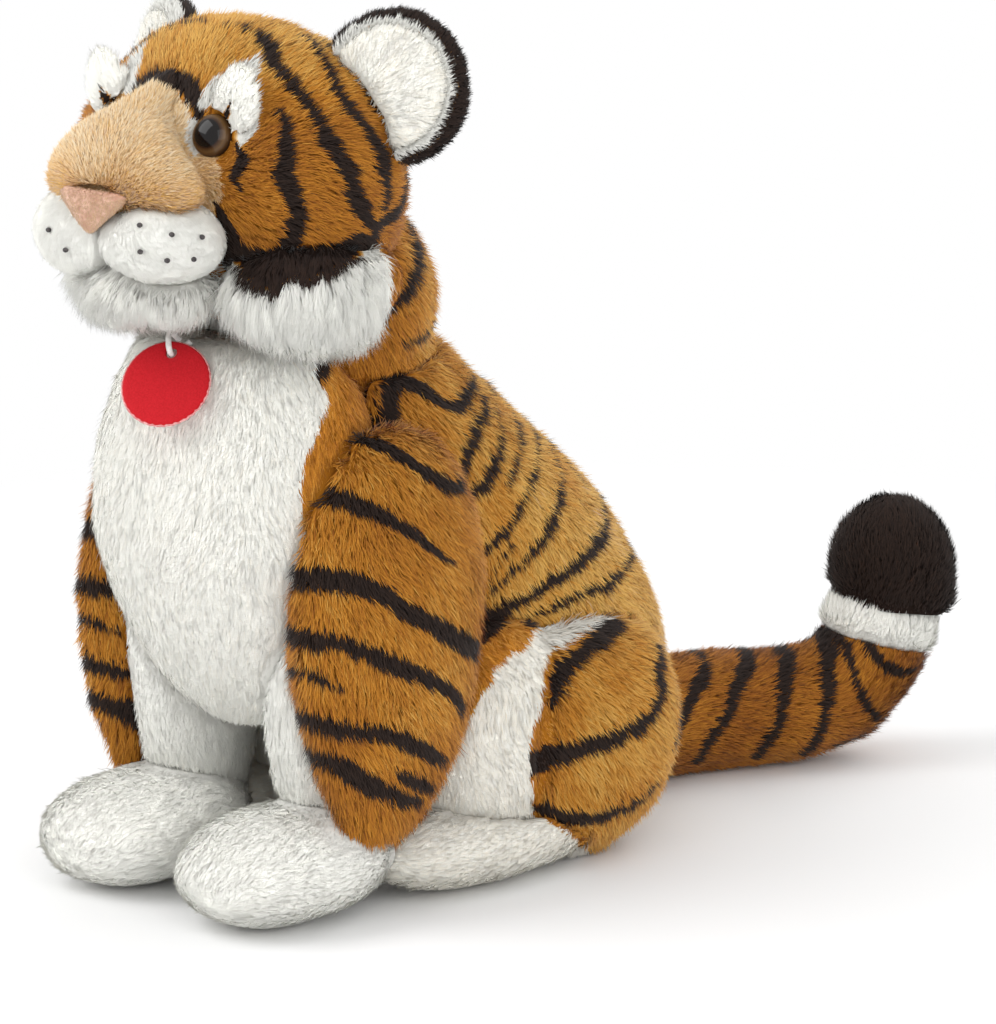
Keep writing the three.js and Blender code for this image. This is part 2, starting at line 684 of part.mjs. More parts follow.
mesh(headGroup, 'head', cutBy(head.own, neck, underHead, ...sockets), materials.striped);
mesh(headGroup, 'muzzle', cutBy(muzzle.own, head, neck, ...sockets), materials.tan);
mesh(headGroup, 'nose', cutBy(nose.own, muzzle, head), materials.pink);
mesh(headGroup, 'chin', cutBy(chin.own, head, muzzle, ...pads, neck, underHead), materials.white);
for (const [name, { pad, ruff, brow }] of Object.entries(faces)) {
  const half = name === 'left' ? 1 : -1;
  const ownSide = solidOf(new THREE.BoxGeometry(overrun, 2 * overrun, 2 * overrun)
    .translate(half * (overrun / 2 + seam / 2), 0, 0));
  mesh(headGroup, `whisker_pad_${name}`,
    cutBy(pad.own.intersect(ownSide), muzzle, head, nose), materials.white);
  mesh(headGroup, `cheek_ruff_${name}`, cutBy(ruff.own, head, neck, chin, pad, underHead), materials.white);
  mesh(headGroup, `brow_patch_${name}`, cutBy(brow.own, head, muzzle, ...sockets), materials.white);
  mesh(headGroup, `eye_${name}`, eyes[name].eye, materials.eye);
  mesh(headGroup, `eye_washer_${name}`, eyes[name].washer, materials.washer);
}
mesh(neckGroup, 'neck', neck.own, materials.striped);
for (const [name, { back, lining, hinge }] of Object.entries(ears)) {
  const earGroup = jointed(headGroup, hinge);
  mesh(earGroup, `ear_back_${name}`, back, materials.black);
  mesh(earGroup, `ear_lining_${name}`, lining, materials.white);
}

// Tail
const tailDirection = new THREE.Vector3(Math.sin(radians(tailSkew)), Math.cos(radians(tailSkew)), 0);
const tailSpine = [place(0, -tailRootBack, 0), ...tailRunShares.map((share, i) =>
  place(0, -tailStraight, tailRise * tailRiseShares[i]).addScaledVector(tailDirection, tailRun * share))];
const tail = formedOnFloor({
  spine: tailSpine, width: tailDiameter, depth: tailDiameter, widthShares: tailDiameterShares,
  depthShares: tailDiameterShares, ...rounding.tail,
  sideways: new THREE.Vector3(Math.cos(radians(tailSkew)), -Math.sin(radians(tailSkew)), 0),
});
const tailRunEnd = place(0, -tailStraight, 0).addScaledVector(tailDirection, tailRun);
const tailAcross = new THREE.Vector3().crossVectors(tailDirection, zAxis);

// A level layer, tilted as the ring is about the end of the tail's run.
function slab(low, high) {
  const layer = solidOf(new THREE.BoxGeometry(2 * overrun, 2 * overrun, high - low)
    .translate(0, 0, (low + high) / 2));
  return turnedAbout(layer, tailRunEnd, tailAcross, -tailRingTilt);
}
const tailPivot = place(0, -tailPivotBack, 0);
const tailGroup = jointed(tiger, tailPivot);
const tailRoot = cutOverSwing(
  cutBy(grounded(tail.own), slab(tailRingLow, overrun)), torso, tailPivot, zAxis, tailSway,
);
mesh(tailGroup, 'tail_striped', tailRoot, materials.striped);
mesh(tailGroup, 'tail_ring', tail.own.intersect(slab(tailRingLow + seam, tailRingHigh)), materials.white);
mesh(tailGroup, 'tail_tip', tail.own.intersect(slab(tailRingHigh + seam, overrun)), materials.black);

// How far the front of the bib lies forward above its middle at a height.
function bibFront(height) {
  const along = (height - bibBottom) / (bibTop - bibBottom);
  const { bluntness } = rounding.bib;
  const cap = (1 - Math.abs(2 * along - 1) ** bluntness) ** (1 / bluntness);
  const middle = THREE.MathUtils.lerp(bibMiddleForward, bibTopForward, 2 * along - 1);
  return middle + bibDepth / 2 * cap * shareAt(bibDepthShares, along);
}

// Tag: its hole hangs out and down from the seam, and the disc leans from there.
const tagSeamHeight = bibTop - tagBelowBibTop;
const tagSeam = place(tagOut, bibFront(tagSeamHeight) + seam, tagSeamHeight);
const tagFrame = new THREE.Matrix4().makeRotationZ(radians(tagTurn))
  .multiply(new THREE.Matrix4().makeRotationX(Math.PI / 2 - radians(tagLean)));
const tagAcross = xAxis.clone().transformDirection(tagFrame);
const tagUp = yAxis.clone().transformDirection(tagFrame);
const tagOutward = zAxis.clone().transformDirection(tagFrame);
const tagHoleAt = tagSeam.clone().add(place(0, loopReach, -loopDrop));
const discMiddle = tagHoleAt.clone().addScaledVector(tagUp, tagHoleInset - tagDiameter / 2);
const discPose = tagFrame.clone().setPosition(discMiddle);
const disc = solidOf(turned([
  [0, -tagThickness / 2], [tagDiameter / 2, -tagThickness / 2],
  [tagDiameter / 2, tagThickness / 2], [0, tagThickness / 2],
], turnedSides.tag).applyMatrix4(discPose));
const hole = solidOf(turned([
  [0, -tagThickness], [tagHole / 2, -tagThickness], [tagHole / 2, tagThickness], [0, tagThickness],
], turnedSides.hole).applyMatrix4(tagFrame.clone().setPosition(tagHoleAt)));

// The cord leaves the seam, passes over the rim, through the hole and back.
const clearOfDisc = tagThickness / 2 + loopCord;
const loopPoint = (across, outward, up) => tagHoleAt.clone()
  .addScaledVector(tagAcross, across).addScaledVector(tagOutward, outward).addScaledVector(tagUp, up);
const loopCurve = new THREE.CatmullRomCurve3([
  tagSeam.clone().addScaledVector(tagAcross, -loopSpread / 2),
  loopPoint(-loopSpread / 3, -clearOfDisc / 2, tagHoleInset + 2 * loopCord),
  loopPoint(-loopSpread / 4, clearOfDisc, tagHoleInset + loopCord / 2),
  loopPoint(0, clearOfDisc, loopCord / 2),
  loopPoint(0, 0, 0),
  loopPoint(0, -clearOfDisc, loopCord / 2),
  loopPoint(loopSpread / 3, -clearOfDisc - loopCord, tagHoleInset / 2 + loopCord),
  tagSeam.clone().addScaledVector(tagAcross, loopSpread / 2),
], false, 'centripetal');
const cordSection = new THREE.Shape();
cordSection.absarc(0, 0, loopCord / 2, 0, 2 * Math.PI);
const cordLoop = solidOf(new THREE.ExtrudeGeometry(cordSection, {
  extrudePath: loopCurve, steps: 20, curveSegments: 3, bevelEnabled: false,
}));
const tagGroup = jointed(tiger, tagSeam);
mesh(tagGroup, 'tag_disc', disc.subtract(hole), materials.felt);
mesh(tagGroup, 'tag_loop', cutBy(cordLoop, bib), materials.cord);

export default tiger;
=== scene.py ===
"""A sitting plush tiger: stuffed skins with a pile of fur blades, eyes, nose, dots, tag and cord."""
import itertools
import json
import math

import bmesh
import bpy
import numpy as np
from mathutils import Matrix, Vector
from mathutils.bvhtree import BVHTree

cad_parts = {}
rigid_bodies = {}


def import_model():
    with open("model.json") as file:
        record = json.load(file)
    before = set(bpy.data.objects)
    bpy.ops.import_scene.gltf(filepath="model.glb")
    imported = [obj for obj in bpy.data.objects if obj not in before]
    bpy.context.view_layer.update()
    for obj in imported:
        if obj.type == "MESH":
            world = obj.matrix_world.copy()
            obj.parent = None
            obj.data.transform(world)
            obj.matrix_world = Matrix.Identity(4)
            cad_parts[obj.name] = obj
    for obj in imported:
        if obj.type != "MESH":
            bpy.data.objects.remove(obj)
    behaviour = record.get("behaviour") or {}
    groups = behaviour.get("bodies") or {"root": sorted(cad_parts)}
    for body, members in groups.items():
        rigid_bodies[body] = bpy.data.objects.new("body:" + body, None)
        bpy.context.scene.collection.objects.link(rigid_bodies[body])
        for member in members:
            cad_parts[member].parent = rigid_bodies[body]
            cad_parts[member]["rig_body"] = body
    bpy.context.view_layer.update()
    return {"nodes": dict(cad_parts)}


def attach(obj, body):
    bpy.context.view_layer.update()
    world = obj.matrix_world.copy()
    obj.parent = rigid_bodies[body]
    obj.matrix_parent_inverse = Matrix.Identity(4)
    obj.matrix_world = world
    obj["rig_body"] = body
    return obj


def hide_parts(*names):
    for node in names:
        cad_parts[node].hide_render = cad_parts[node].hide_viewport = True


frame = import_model()

MM = 0.001
SEED = 20
UP = np.array([0.0, 0.0, 1.0])
LOWEST = 0.3  # in mm: no skin or blade comes nearer to the floor

# Places, in mm
HEAD_MIDDLE = np.array([0.0, -158.0, 291.0])
NOSE_MIDDLE = np.array([0.0, -232.0, 287.0])
TAIL_TURN = math.radians(24)
TAIL_LINE = np.array([math.sin(TAIL_TURN), math.cos(TAIL_TURN), 0.0])
TAIL_START = np.array([0.0, 88.0, 0.0])

# Stripes
# Every stripe is a line drawn through points of (first place, second place, half width).
# On the body the places are (y, z) in mm, and both flanks have them.
TORSO_STRIPES = [
    [(-166, 216, 4), (-158, 222, 4.5), (-146, 229, 3.5), (-130, 236, 3), (-112, 246, 4),
     (-98, 258, 4.5), (-90, 270, 3)],
    [(-118, 222, 1.8), (-100, 222, 2), (-88, 226, 1.6), (-80, 235, 1)],
    [(-133, 190, 3.5), (-127, 202, 3.5), (-124, 207, 3.8), (-117, 207, 3.8), (-110, 204, 3),
     (-101, 197, 2.5), (-92, 194, 3), (-82, 197, 3), (-68, 202, 2), (-66, 206, 1.5)],
    [(-68, 195, 1.5), (-76, 189, 2.5), (-87, 183, 3), (-94, 174, 3.2), (-99, 166, 3)],
    [(-42, 200, 2.4), (-50, 197, 1.8), (-60, 192, 0.8), (-66, 186, 1.2), (-69, 178, 2), (-77, 171, 3),
     (-86, 163, 3.2), (-98, 158, 2.5)],
    [(-30, 193, 2.4), (-38, 191, 1.8), (-46, 187, 0.8), (-47, 181, 1.2), (-54, 176, 2), (-64, 168, 1.6),
     (-73, 160, 1)],
    [(-12, 179, 2.6), (-24, 177, 2.2), (-36, 173, 1.6), (-45, 168, 1), (-52, 162, 1.6), (-61, 155, 1.4),
     (-69, 147, 2), (-76, 141, 2.6), (-88, 133, 2.5)],
    [(-71, 136, 1), (-77, 127, 1), (-80, 120, 0.8)],
    [(2, 166, 2.4), (-8, 168, 1.8), (-18, 168, 1.2), (-26, 165, 1), (-28, 159, 1.6), (-36, 150, 2.6),
     (-46, 142, 3.2), (-54, 135, 3), (-62, 130, 2.2), (-70, 124, 1.8), (-78, 117, 1.5)],
    [(26, 140, 2.6), (16, 140, 2.4), (6, 138, 1.8), (0, 134, 1.8), (-5, 131, 2.5), (-13, 128, 3.4),
     (-26, 124, 3.2), (-40, 120, 3), (-53, 116, 2.6), (-65, 111, 2.6), (-78, 107, 3), (-90, 103, 2.5)],
    [(44, 116, 2.6), (32, 117, 2.4), (18, 116, 1.8), (8, 114, 1.4), (-2, 112, 2.2), (-14, 110, 2.4),
     (-27, 110, 2), (-40, 108, 1.6), (-53, 106, 1.2), (-66, 103, 0.8)],
    [(-12, 162, 0.5), (-8, 154, 0.9), (-6, 149, 0.4)],
]
# On the back they are (distance from the middle, z) in mm, seen from behind.
BACK_STRIPES = [
    [(0, 226, 3), (14, 222, 3), (30, 212, 1.6)],
    [(0, 153, 2.8), (14, 152, 2.6), (30, 149, 1.2)],
    [(0, 128, 2.6), (14, 128, 2.4), (28, 127, 1)],
    [(0, 97, 3), (16, 99, 3), (36, 104, 2.4), (50, 103, 1)],
    [(0, 74, 2.6), (18, 76, 2.8), (38, 76, 1.4)],
    [(0, 47, 2.4), (20, 50, 2.4), (42, 51, 1)],
]
SLEEVE_STRIPES = [
    [(-178, 197, 2.5), (-166, 196, 3), (-155, 193, 3.5), (-146, 186, 3), (-139, 180, 2.8),
     (-132, 175, 3), (-124, 170, 3.2), (-112, 169, 3)],
    [(-190, 172, 4.5), (-178, 173, 4.2), (-170, 170, 3.8), (-164, 166, 3.4), (-157, 162, 3),
     (-149, 157, 2.6), (-142, 151, 1.6), (-134, 145, 1.6), (-126, 141, 0.8)],
    [(-194, 141, 4), (-180, 142, 4.4), (-171, 138, 4.2), (-163, 134, 3.6), (-155, 127, 3.6),
     (-144, 121, 4), (-134, 115, 4.2), (-122, 108, 4.4), (-108, 101, 4)],
    [(-197, 120, 3.5), (-190, 118, 4), (-181, 117, 3.2), (-167, 109, 3.4), (-158, 105, 3.6),
     (-150, 101, 3.6), (-140, 96, 3.4), (-129, 89, 3), (-118, 80, 3)],
    [(-196, 106, 1.8), (-190, 104, 2), (-185, 101, 1.6), (-181, 99, 0.8)],
    [(-198, 92, 2.5), (-188, 85, 3), (-180, 82, 3), (-170, 81, 3), (-161, 78, 3.3), (-151, 73, 3.3),
     (-141, 67, 3.4), (-130, 61, 2.4)],
    [(-198, 74, 2.5), (-185, 70, 3), (-177, 66, 4), (-170, 60, 4), (-162, 55, 3.6), (-153, 50, 3.2),
     (-143, 47, 2.6)],
    [(-158, 62, 1.2), (-150, 58, 2.4), (-142, 54, 3), (-136, 51, 2.5)],
]
HAUNCH_STRIPES = [
    [(-20, 99, 4.5), (-32, 95, 4), (-45, 92, 3.2), (-55, 87, 3), (-62, 81, 3.5), (-67, 74, 3)],
    [(2, 82, 4), (-7, 76, 3), (-6, 68, 3.5), (-15, 61, 3.5), (-27, 57, 3.5), (-41, 55, 4), (-54, 54, 4),
     (-66, 53, 4.5), (-79, 51, 5.5)],
    [(-73, 31, 1.5), (-62, 25, 2.8), (-49, 22, 3.2), (-38, 21, 3), (-26, 22, 2.5), (-15, 25, 1.8),
     (-5, 30, 1)],
    [(20, 60, 3), (14, 50, 3), (6, 42, 2)],
]
# The gold panel of the haunch begins behind this line of (z, y).
PANEL_FRONT = [(0, -30), (8, -45), (17, -59), (27, -73), (34, -76), (45, -80), (54, -82), (66, -78),
               (75, -72), (83, -69), (90, -66), (94, -55), (98, -41), (100, -18), (103, 0)]
# The gold under the back begins above this line of (y, z), and behind PANEL_END there is only gold.
PANEL_END = -8
PANEL_ABOVE = [(-116, 60), (-108, 70), (-100, 81), (-92, 90), (-81, 95), (-58, 101), (-39, 104),
               (-3, 99)]
# The bib's white ends behind this line of (z, y), further than BIB_HALF from the middle.
BIB_HALF = 36
BIB_SIDES = [(120, -176), (168, -183), (184, -181), (194, -174), (202, -166), (209, -164), (216, -167),
             (223, -162), (232, -156)]
# On the head they are (turn from straight ahead, height angle) in degrees about the head's middle.
HEAD_STRIPES = [
    [(15, 76, 0.8), (45, 74, 1), (64, 66, 1.6), (66, 58, 3.6), (64, 49, 2.6), (67, 40, 2.2),
     (72, 32, 2.2), (74, 26, 2.4), (75, 19, 2.6), (77, 12, 3), (80, 6, 3.4), (82, 0, 3.4), (85, -6, 3),
     (89, -11, 2)],
    [(97, 60, 1.2), (92, 52, 1.8), (89, 46, 2), (86, 34, 2), (87, 24, 2.2), (91, 16, 2.6), (94, 8, 3),
     (96, 0, 2.6), (95, -6, 1.8)],
    [(108, 58, 1), (102, 50, 1.4), (99, 40, 1.6), (98, 29, 1.2), (99, 22, 0.6)],
    [(112, 42, 3), (113, 33, 4), (111, 26, 3)],
    [(62, 28, 1), (63, 22, 2), (62, 12, 2.8), (61, 6, 3.2), (63, -1, 3), (65, -7, 2.8), (64, -16, 3)],
    [(46, 17, 1.2), (48, 11, 2.2), (45, 5, 2), (47, 1, 1)],
    [(0, 45, 4.2), (8, 45, 4.4), (16, 43.5, 4), (22, 40, 3.8), (26, 34, 3), (26.5, 29, 1.8)],
    [(112, 2, 2), (109, -5, 3), (100, -10, 2.6), (91, -12, 2)],
    [(180, 62, 3), (160, 60, 3), (140, 54, 2)],
    [(180, 40, 3.4), (160, 39, 3), (138, 33, 2)],
    [(180, 18, 3), (158, 17, 3), (132, 12, 2)],
    [(180, -4, 3), (156, -5, 3), (130, -8, 2)],
    [(180, -24, 2.6), (158, -25, 2.6), (134, -26, 1.4)],
]
# The white patches of the head and the dark line by each eye are drawn in the same way; that line is partly a
# lash and partly painted shade of the eyelid's crease.
HEAD_WHITES = [
    [(29, 36, 3), (36, 39, 6.5), (44, 42, 7), (51, 46, 4.5), (57, 52, 1.2)],
    [(44, 38, 6.5), (49, 31, 5.5), (49, 24, 4.5), (48, 18, 2)],
    [(24, 27, 1.6), (24, 20, 2.2), (27, 15, 1.8)],
]
LASH_AND_LID_SHADE_LINES = [[(42.5, 30.5, 0.8), (41.5, 28.5, 1.3), (39.5, 26.5, 1)]]
# The tan of the bridge lies between two heights and ends at this turn, as (height, turn).
BRIDGE_LOW, BRIDGE_HIGH = -14, 42
BRIDGE = [(-14, 40), (8, 39), (13, 35.5), (19, 28), (27, 24), (34, 21), (40, 13)]
# The black band under each cheek: turn, height of its lower edge, height of its upper edge.
BAND = [(34, -25, -4), (39, -26.5, -5), (43, -28, -10), (46, -29, -17), (50, -29, -20),
        (57, -28, -19.5), (67, -25, -18), (76, -22.5, -16), (85, -19.5, -13), (90, -17, -11.5),
        (96, -14, -10)]
# It begins at these turns on the far side, the near side and the near ruff, and ends at the last two.
BAND_FAR, BAND_NEAR, BAND_RUFF, BAND_END, RUFF_END = 52, 37, 30, 95, 92
# On the tail they are (distance along it, z) in mm, and they go round it.
TAIL_STRIPES = [
    [(-14, 46, 2), (-18, 38, 2.6), (-24, 26, 2.6), (-28, 14, 2)],
    [(17, 56, 2), (13, 49, 2.8), (5, 43, 3), (-2, 36, 3), (-8, 26, 2.6), (-12, 14, 2.4)],
    [(38, 53, 2), (34, 49, 3), (28, 45, 3), (23, 40, 3), (20, 32, 2.6), (15, 25, 2.8), (10, 19, 3),
     (7, 11, 3.4)],
    [(57, 54, 2.5), (52, 49, 3.4), (48, 44, 3.6), (46, 37, 3.2), (44, 29, 2.8), (42, 22, 2.4),
     (38, 15, 2.6), (36, 9, 3)],
    [(76, 58, 2), (72, 52, 3.2), (69, 46, 3.5), (68, 39, 3.6), (66, 32, 3), (65, 26, 2.8),
     (63, 19, 2.8), (61, 12, 3), (60, 7, 3)],
    [(76, 63, 2.4), (79, 55, 1.8), (79, 47, 1.8), (80, 41, 2), (82, 34, 2.4), (86, 27, 2.4),
     (92, 21, 1.6)],
    [(86, 56, 2), (90, 50, 3), (95, 45, 2.6), (103, 42, 2.4), (111, 43, 1)],
    [(70, 66, 2), (76, 60, 1.5)],
    [(78, 8, 2), (86, 12, 2)],
]

# Tones of the pile
# A tone is a place from 0 to 1 on one row of colours, so that a blade's colour is its tone alone.
BLACK, GOLD, PINK, TAN, WHITE = 0.06, 0.44, 0.645, 0.75, 0.94
TONES = [  # tone, colour at the root, colour at the tip, as written sRGB shares of 255
    (0.00, (20, 14, 13), (36, 27, 24)),
    (0.12, (28, 19, 15), (60, 43, 34)),
    (0.20, (62, 33, 14), (102, 62, 28)),
    (0.30, (112, 62, 16), (166, 98, 32)),
    (0.44, (152, 92, 20), (212, 143, 46)),
    (0.56, (186, 132, 54), (236, 192, 102)),
    (0.62, (190, 136, 70), (238, 196, 120)),
    (0.645, (180, 146, 116), (212, 180, 154)),
    (0.67, (192, 142, 84), (234, 190, 128)),
    (0.75, (214, 182, 132), (244, 220, 178)),
    (0.84, (222, 208, 184), (236, 228, 212)),
    (0.92, (223, 222, 216), (231, 231, 225)),
    (1.00, (229, 228, 223), (237, 237, 232)),
]


def linear(colour):
    """Scene-linear RGBA of a written sRGB colour: ((c + 0.055) / 1.055) ^ 2.4, or c / 12.92 for a small c."""
    shares = [c / 255 for c in colour]
    return tuple(((s + 0.055) / 1.055) ** 2.4 if s > 0.04045 else s / 12.92 for s in shares) + (1.0,)


# Numbers over space
def share_of(cells, seed):
    """A fixed share from 0 to 1 for each whole-numbered cell: the fraction of a large sine of it."""
    wave = np.sin(cells @ np.array([12.9898, 78.233, 37.719]) + seed * 4.1327) * 43758.5453
    return wave - np.floor(wave)


def noise(points, size, seed):
    """Smooth noise from -1 to 1: the eight corner shares of a cube of that size, blended by 3t^2 - 2t^3."""
    base = np.floor(points / size)
    t = points / size - base
    t = t * t * (3 - 2 * t)
    total = np.zeros(len(points))
    for corner in itertools.product((0, 1), repeat=3):
        weight = np.prod(np.where(corner, t, 1 - t), axis=1)
        total += weight * share_of(base + corner, seed)
    return 2 * total - 1


def tuft_centres(points, size, seed):
    """The nearest centre to each point, one centre lying by chance in each cube of that size."""
    base = np.floor(points / size)
    nearest = np.full(len(points), np.inf)
    centres = np.zeros_like(points)
    for step in itertools.product((-1, 0, 1), repeat=3):
        cell = base + step
        spot = (cell + np.stack([share_of(cell, seed + k) for k in (1, 2, 3)], axis=1)) * size
        away = ((spot - points) ** 2).sum(1)
        closer = away < nearest
        nearest[closer] = away[closer]
        centres[closer] = spot[closer]
    return centres


def unit(vectors):
    return vectors / np.maximum(np.linalg.norm(vectors, axis=-1, keepdims=True), 1e-9)


def ramp(value, low, high):
    """0 below low, 1 above high, and 3t^2 - 2t^3 between."""
    t = np.clip((value - low) / (high - low), 0, 1)
    return t * t * (3 - 2 * t)


def depth_in(a, b, lines, squeeze=1.0):
    """How deep (a, b) lies in the stripes: half width less the distance from the nearest line."""
    depth = np.full(len(a), -99.0)
    for line in lines:
        for (a0, b0, w0), (a1, b1, w1) in zip(line, line[1:]):
            da, db = (a1 - a0) * squeeze, b1 - b0
            pa, pb = (a - a0) * squeeze, b - b0
            t = np.clip((pa * da + pb * db) / np.maximum(da * da + db * db, 1e-9), 0, 1)
            depth = np.maximum(depth, w0 + (w1 - w0) * t - np.hypot(pa - t * da, pb - t * db))
    return depth


# Where each tone lies
# The neck is white before the first y and the ruffs are gold behind the second; the muzzle is like the head
# above a height angle.
NECK_FRONT, RUFF_BACK, MUZZLE_TOP = -150, -151, 39.5


def ragged(points, depth, seed):
    """Stripe edges wander by a smooth 0.9 mm and a fine 0.7 mm."""
    return depth + 0.9 * noise(points, 6, seed) + 0.7 * noise(points, 1.6, seed + 1)


def golden(points):
    """The gold of the striped fur: it wanders in patches, and is paler towards the back."""
    tone = GOLD + 0.05 * noise(points, 26, 5) + 0.03 * noise(points, 7, 6)
    return tone + 0.08 * ramp(points[:, 1], -90, 10)


def torso_tone(points, normals):
    side = depth_in(points[:, 1], points[:, 2], TORSO_STRIPES)
    back = depth_in(np.abs(points[:, 0]), points[:, 2], BACK_STRIPES)
    back = back - 9 * ramp(-normals[:, 1], -0.75, -0.5)
    tone = golden(points) - 0.02 + 0.07 * ramp(points[:, 1], -128, -92)
    tone[ragged(points, np.maximum(side, back), 11) > 0] = BLACK
    return tone


def sleeve_tone(points, normals):
    tone = golden(points) - 0.02
    tone[ragged(points, depth_in(points[:, 1], points[:, 2], SLEEVE_STRIPES), 12) > 0] = BLACK
    return tone


def across_line(values, line):
    """The second number of the line's rows at each value of the first."""
    rows = np.array(line, float)
    return np.interp(values, rows[:, 0], rows[:, 1])


def haunch_tone(points, normals):
    """Gold behind the panel's front line and above the line under the back, and white between them."""
    y, z = points[:, 1], points[:, 2]
    wander = 1.6 * noise(points, 5, 14)
    panel = y + wander > across_line(z, PANEL_FRONT)
    above = (z + wander > across_line(y, PANEL_ABOVE)) | (y > PANEL_END)
    tone = golden(points) - 0.01
    tone[ragged(points, depth_in(y, z, HAUNCH_STRIPES), 13) > 0] = BLACK
    tone[above & ~panel & (ragged(points, depth_in(y, z, TORSO_STRIPES), 11) > 0)] = BLACK
    return np.where(panel | above, tone, WHITE - 0.04)


def bib_tone(points, normals):
    """White, and striped gold behind its upper sides."""
    edge = across_line(points[:, 2], BIB_SIDES) + 1.8 * noise(points, 6, 23)
    gold = (points[:, 1] > edge) & (np.abs(points[:, 0]) > BIB_HALF)
    return np.where(gold, torso_tone(points, normals), WHITE - 0.02)


def angles(points):
    """Degrees from straight ahead, without side, and degrees above the level of the head's middle."""
    q = points - HEAD_MIDDLE
    turn = np.degrees(np.arctan2(np.abs(q[:, 0]), -q[:, 1]))
    return turn, np.degrees(np.arctan2(q[:, 2], np.hypot(q[:, 0], q[:, 1])))


def band_edges(turn):
    """The heights of the lower and upper edge of the black band at each turn."""
    return across_line(turn, [row[:2] for row in BAND]), across_line(turn, [row[::2] for row in BAND])


def head_tone(points, normals):
    turn, height = angles(points)
    squeeze = np.cos(np.radians(height))
    tone = golden(points) - 0.045 + 0.14 * ramp(height, 18, 62) - 0.03 * ramp(-height, -20, 10)
    bridge = turn + 1.6 * noise(points, 5, 9) < across_line(height, BRIDGE)
    bridge &= (height > BRIDGE_LOW) & (height < BRIDGE_HIGH)
    tone[bridge] = (TAN - 0.04 + 0.05 * ramp(height, 10, 26))[bridge]
    wander = 1.6 * noise(points, 5, 15) + 0.9 * noise(points, 1.8, 16)
    low, high = band_edges(turn)
    start = np.where(points[:, 0] < 0, BAND_FAR, BAND_NEAR)
    band = (turn > start) & (turn < BAND_END) & (height < high + wander) & (height > low - 6)
    tone[band | (depth_in(turn, height, HEAD_STRIPES, squeeze) + 0.6 * wander > 0)] = BLACK
    tone[depth_in(turn, height, HEAD_WHITES, squeeze) + 0.5 * wander > 0] = WHITE
    # The dark line by the eye: partly lash, and partly painted shade of the eyelid's crease.
    tone[ragged(points, depth_in(turn, height, LASH_AND_LID_SHADE_LINES, squeeze), 8) > 0] = BLACK
    return tone


def neck_tone(points, normals):
    tone = torso_tone(points, normals)
    tone[points[:, 1] < NECK_FRONT + 3 * noise(points, 5, 17)] = WHITE
    return tone


def tail_tone(points, normals):
    along = (points - TAIL_START) @ TAIL_LINE
    # The tail's gold is 0.18 darker than the body's: partly a deeper rust, and partly painted shade for the
    # shade that the tail lies in.
    tone = golden(points) - 0.18
    tone[ragged(points, depth_in(along, points[:, 2], TAIL_STRIPES), 18) > 0] = BLACK
    return tone


def muzzle_tone(points, normals):
    """Tan, richer towards the pads, and like the head's above the bridge."""
    turn, height = angles(points)
    tone = TAN + 0.02 * noise(points, 14, 20) - 0.1 * ramp(-height, -12, 1) * ramp(turn, 2, 12)
    tone[height > 20] = np.minimum(tone, TAN + 0.02)[height > 20]
    return np.where(height + noise(points, 5, 15) > MUZZLE_TOP, head_tone(points, normals), tone)


def brow_tone(points, normals):
    turn, height = angles(points)
    tone = np.full(len(points), WHITE)
    # The dark line by the eye: partly lash, and partly painted shade of the eyelid's crease.
    tone[ragged(points, depth_in(turn, height, LASH_AND_LID_SHADE_LINES, np.cos(np.radians(height))), 8) > 0] = BLACK
    return tone


# The left ear's disc: its middle, the way that it faces, and how far its gold foot and white front reach.
EAR_FOOT, EAR_FRONT = 15, 28
EAR_MIDDLE, EAR_FACING = np.array([66.0, -141.0, 327.0]), np.array([0.4006, -0.8997, 0.1736])


def ear_places(points):
    """How far each point lies from the axis of its own ear's disc, and that axis."""
    mirror = np.where(points[:, :1] < 0, [-1.0, 1.0, 1.0], 1.0)
    way = EAR_FACING * mirror
    return np.linalg.norm(np.cross(points - EAR_MIDDLE * mirror, way), axis=1), way


def ear_tone(points, normals):
    """White on the front as far as the rim, black over the rim and behind, gold at the foot of the back."""
    out, way = ear_places(points)
    front = (normals * way).sum(1)
    tone = np.full(len(points), BLACK)
    tone[(front < -0.3) & (out + 1.5 * noise(points, 5, 21) < EAR_FOOT)] = GOLD
    tone[(front > 0.2) & (out + 0.8 * noise(points, 4, 21) < EAR_FRONT)] = WHITE
    return tone


def ruff_tone(points, normals):
    """White, black above the band's lower edge, and gold like the neck's behind."""
    turn, height = angles(points)
    low, high = band_edges(turn)
    wander = 1.2 * noise(points, 5, 15) + 0.7 * noise(points, 1.8, 16)
    start = np.where(points[:, 0] < 0, BAND_FAR, BAND_RUFF)
    tone = np.where((height + wander > low) & (turn > start) & (turn < RUFF_END), BLACK, WHITE)
    return np.where(points[:, 1] > RUFF_BACK + wander, torso_tone(points, normals), tone)


def plain(tone, spread=0.012):
    return lambda points, normals: tone + spread * noise(points, 9, 22)


# Which way the pile lies
def flowing(x, y, z, origin=None, pull=0.0):
    """The way (side times x, y, z), with pull times the way out of an origin."""
    def way(points, side):
        lay = np.tile(np.array([side * x, y, z], float), (len(points), 1))
        if origin is not None:
            lay += pull * unit(points - np.array([side * origin[0], origin[1], origin[2]]))
        return lay
    return way


def along_tail(points, side):
    rise = ramp((points - TAIL_START) @ TAIL_LINE, 60, 105)[:, None]
    return (1 - rise) * TAIL_LINE + rise * UP


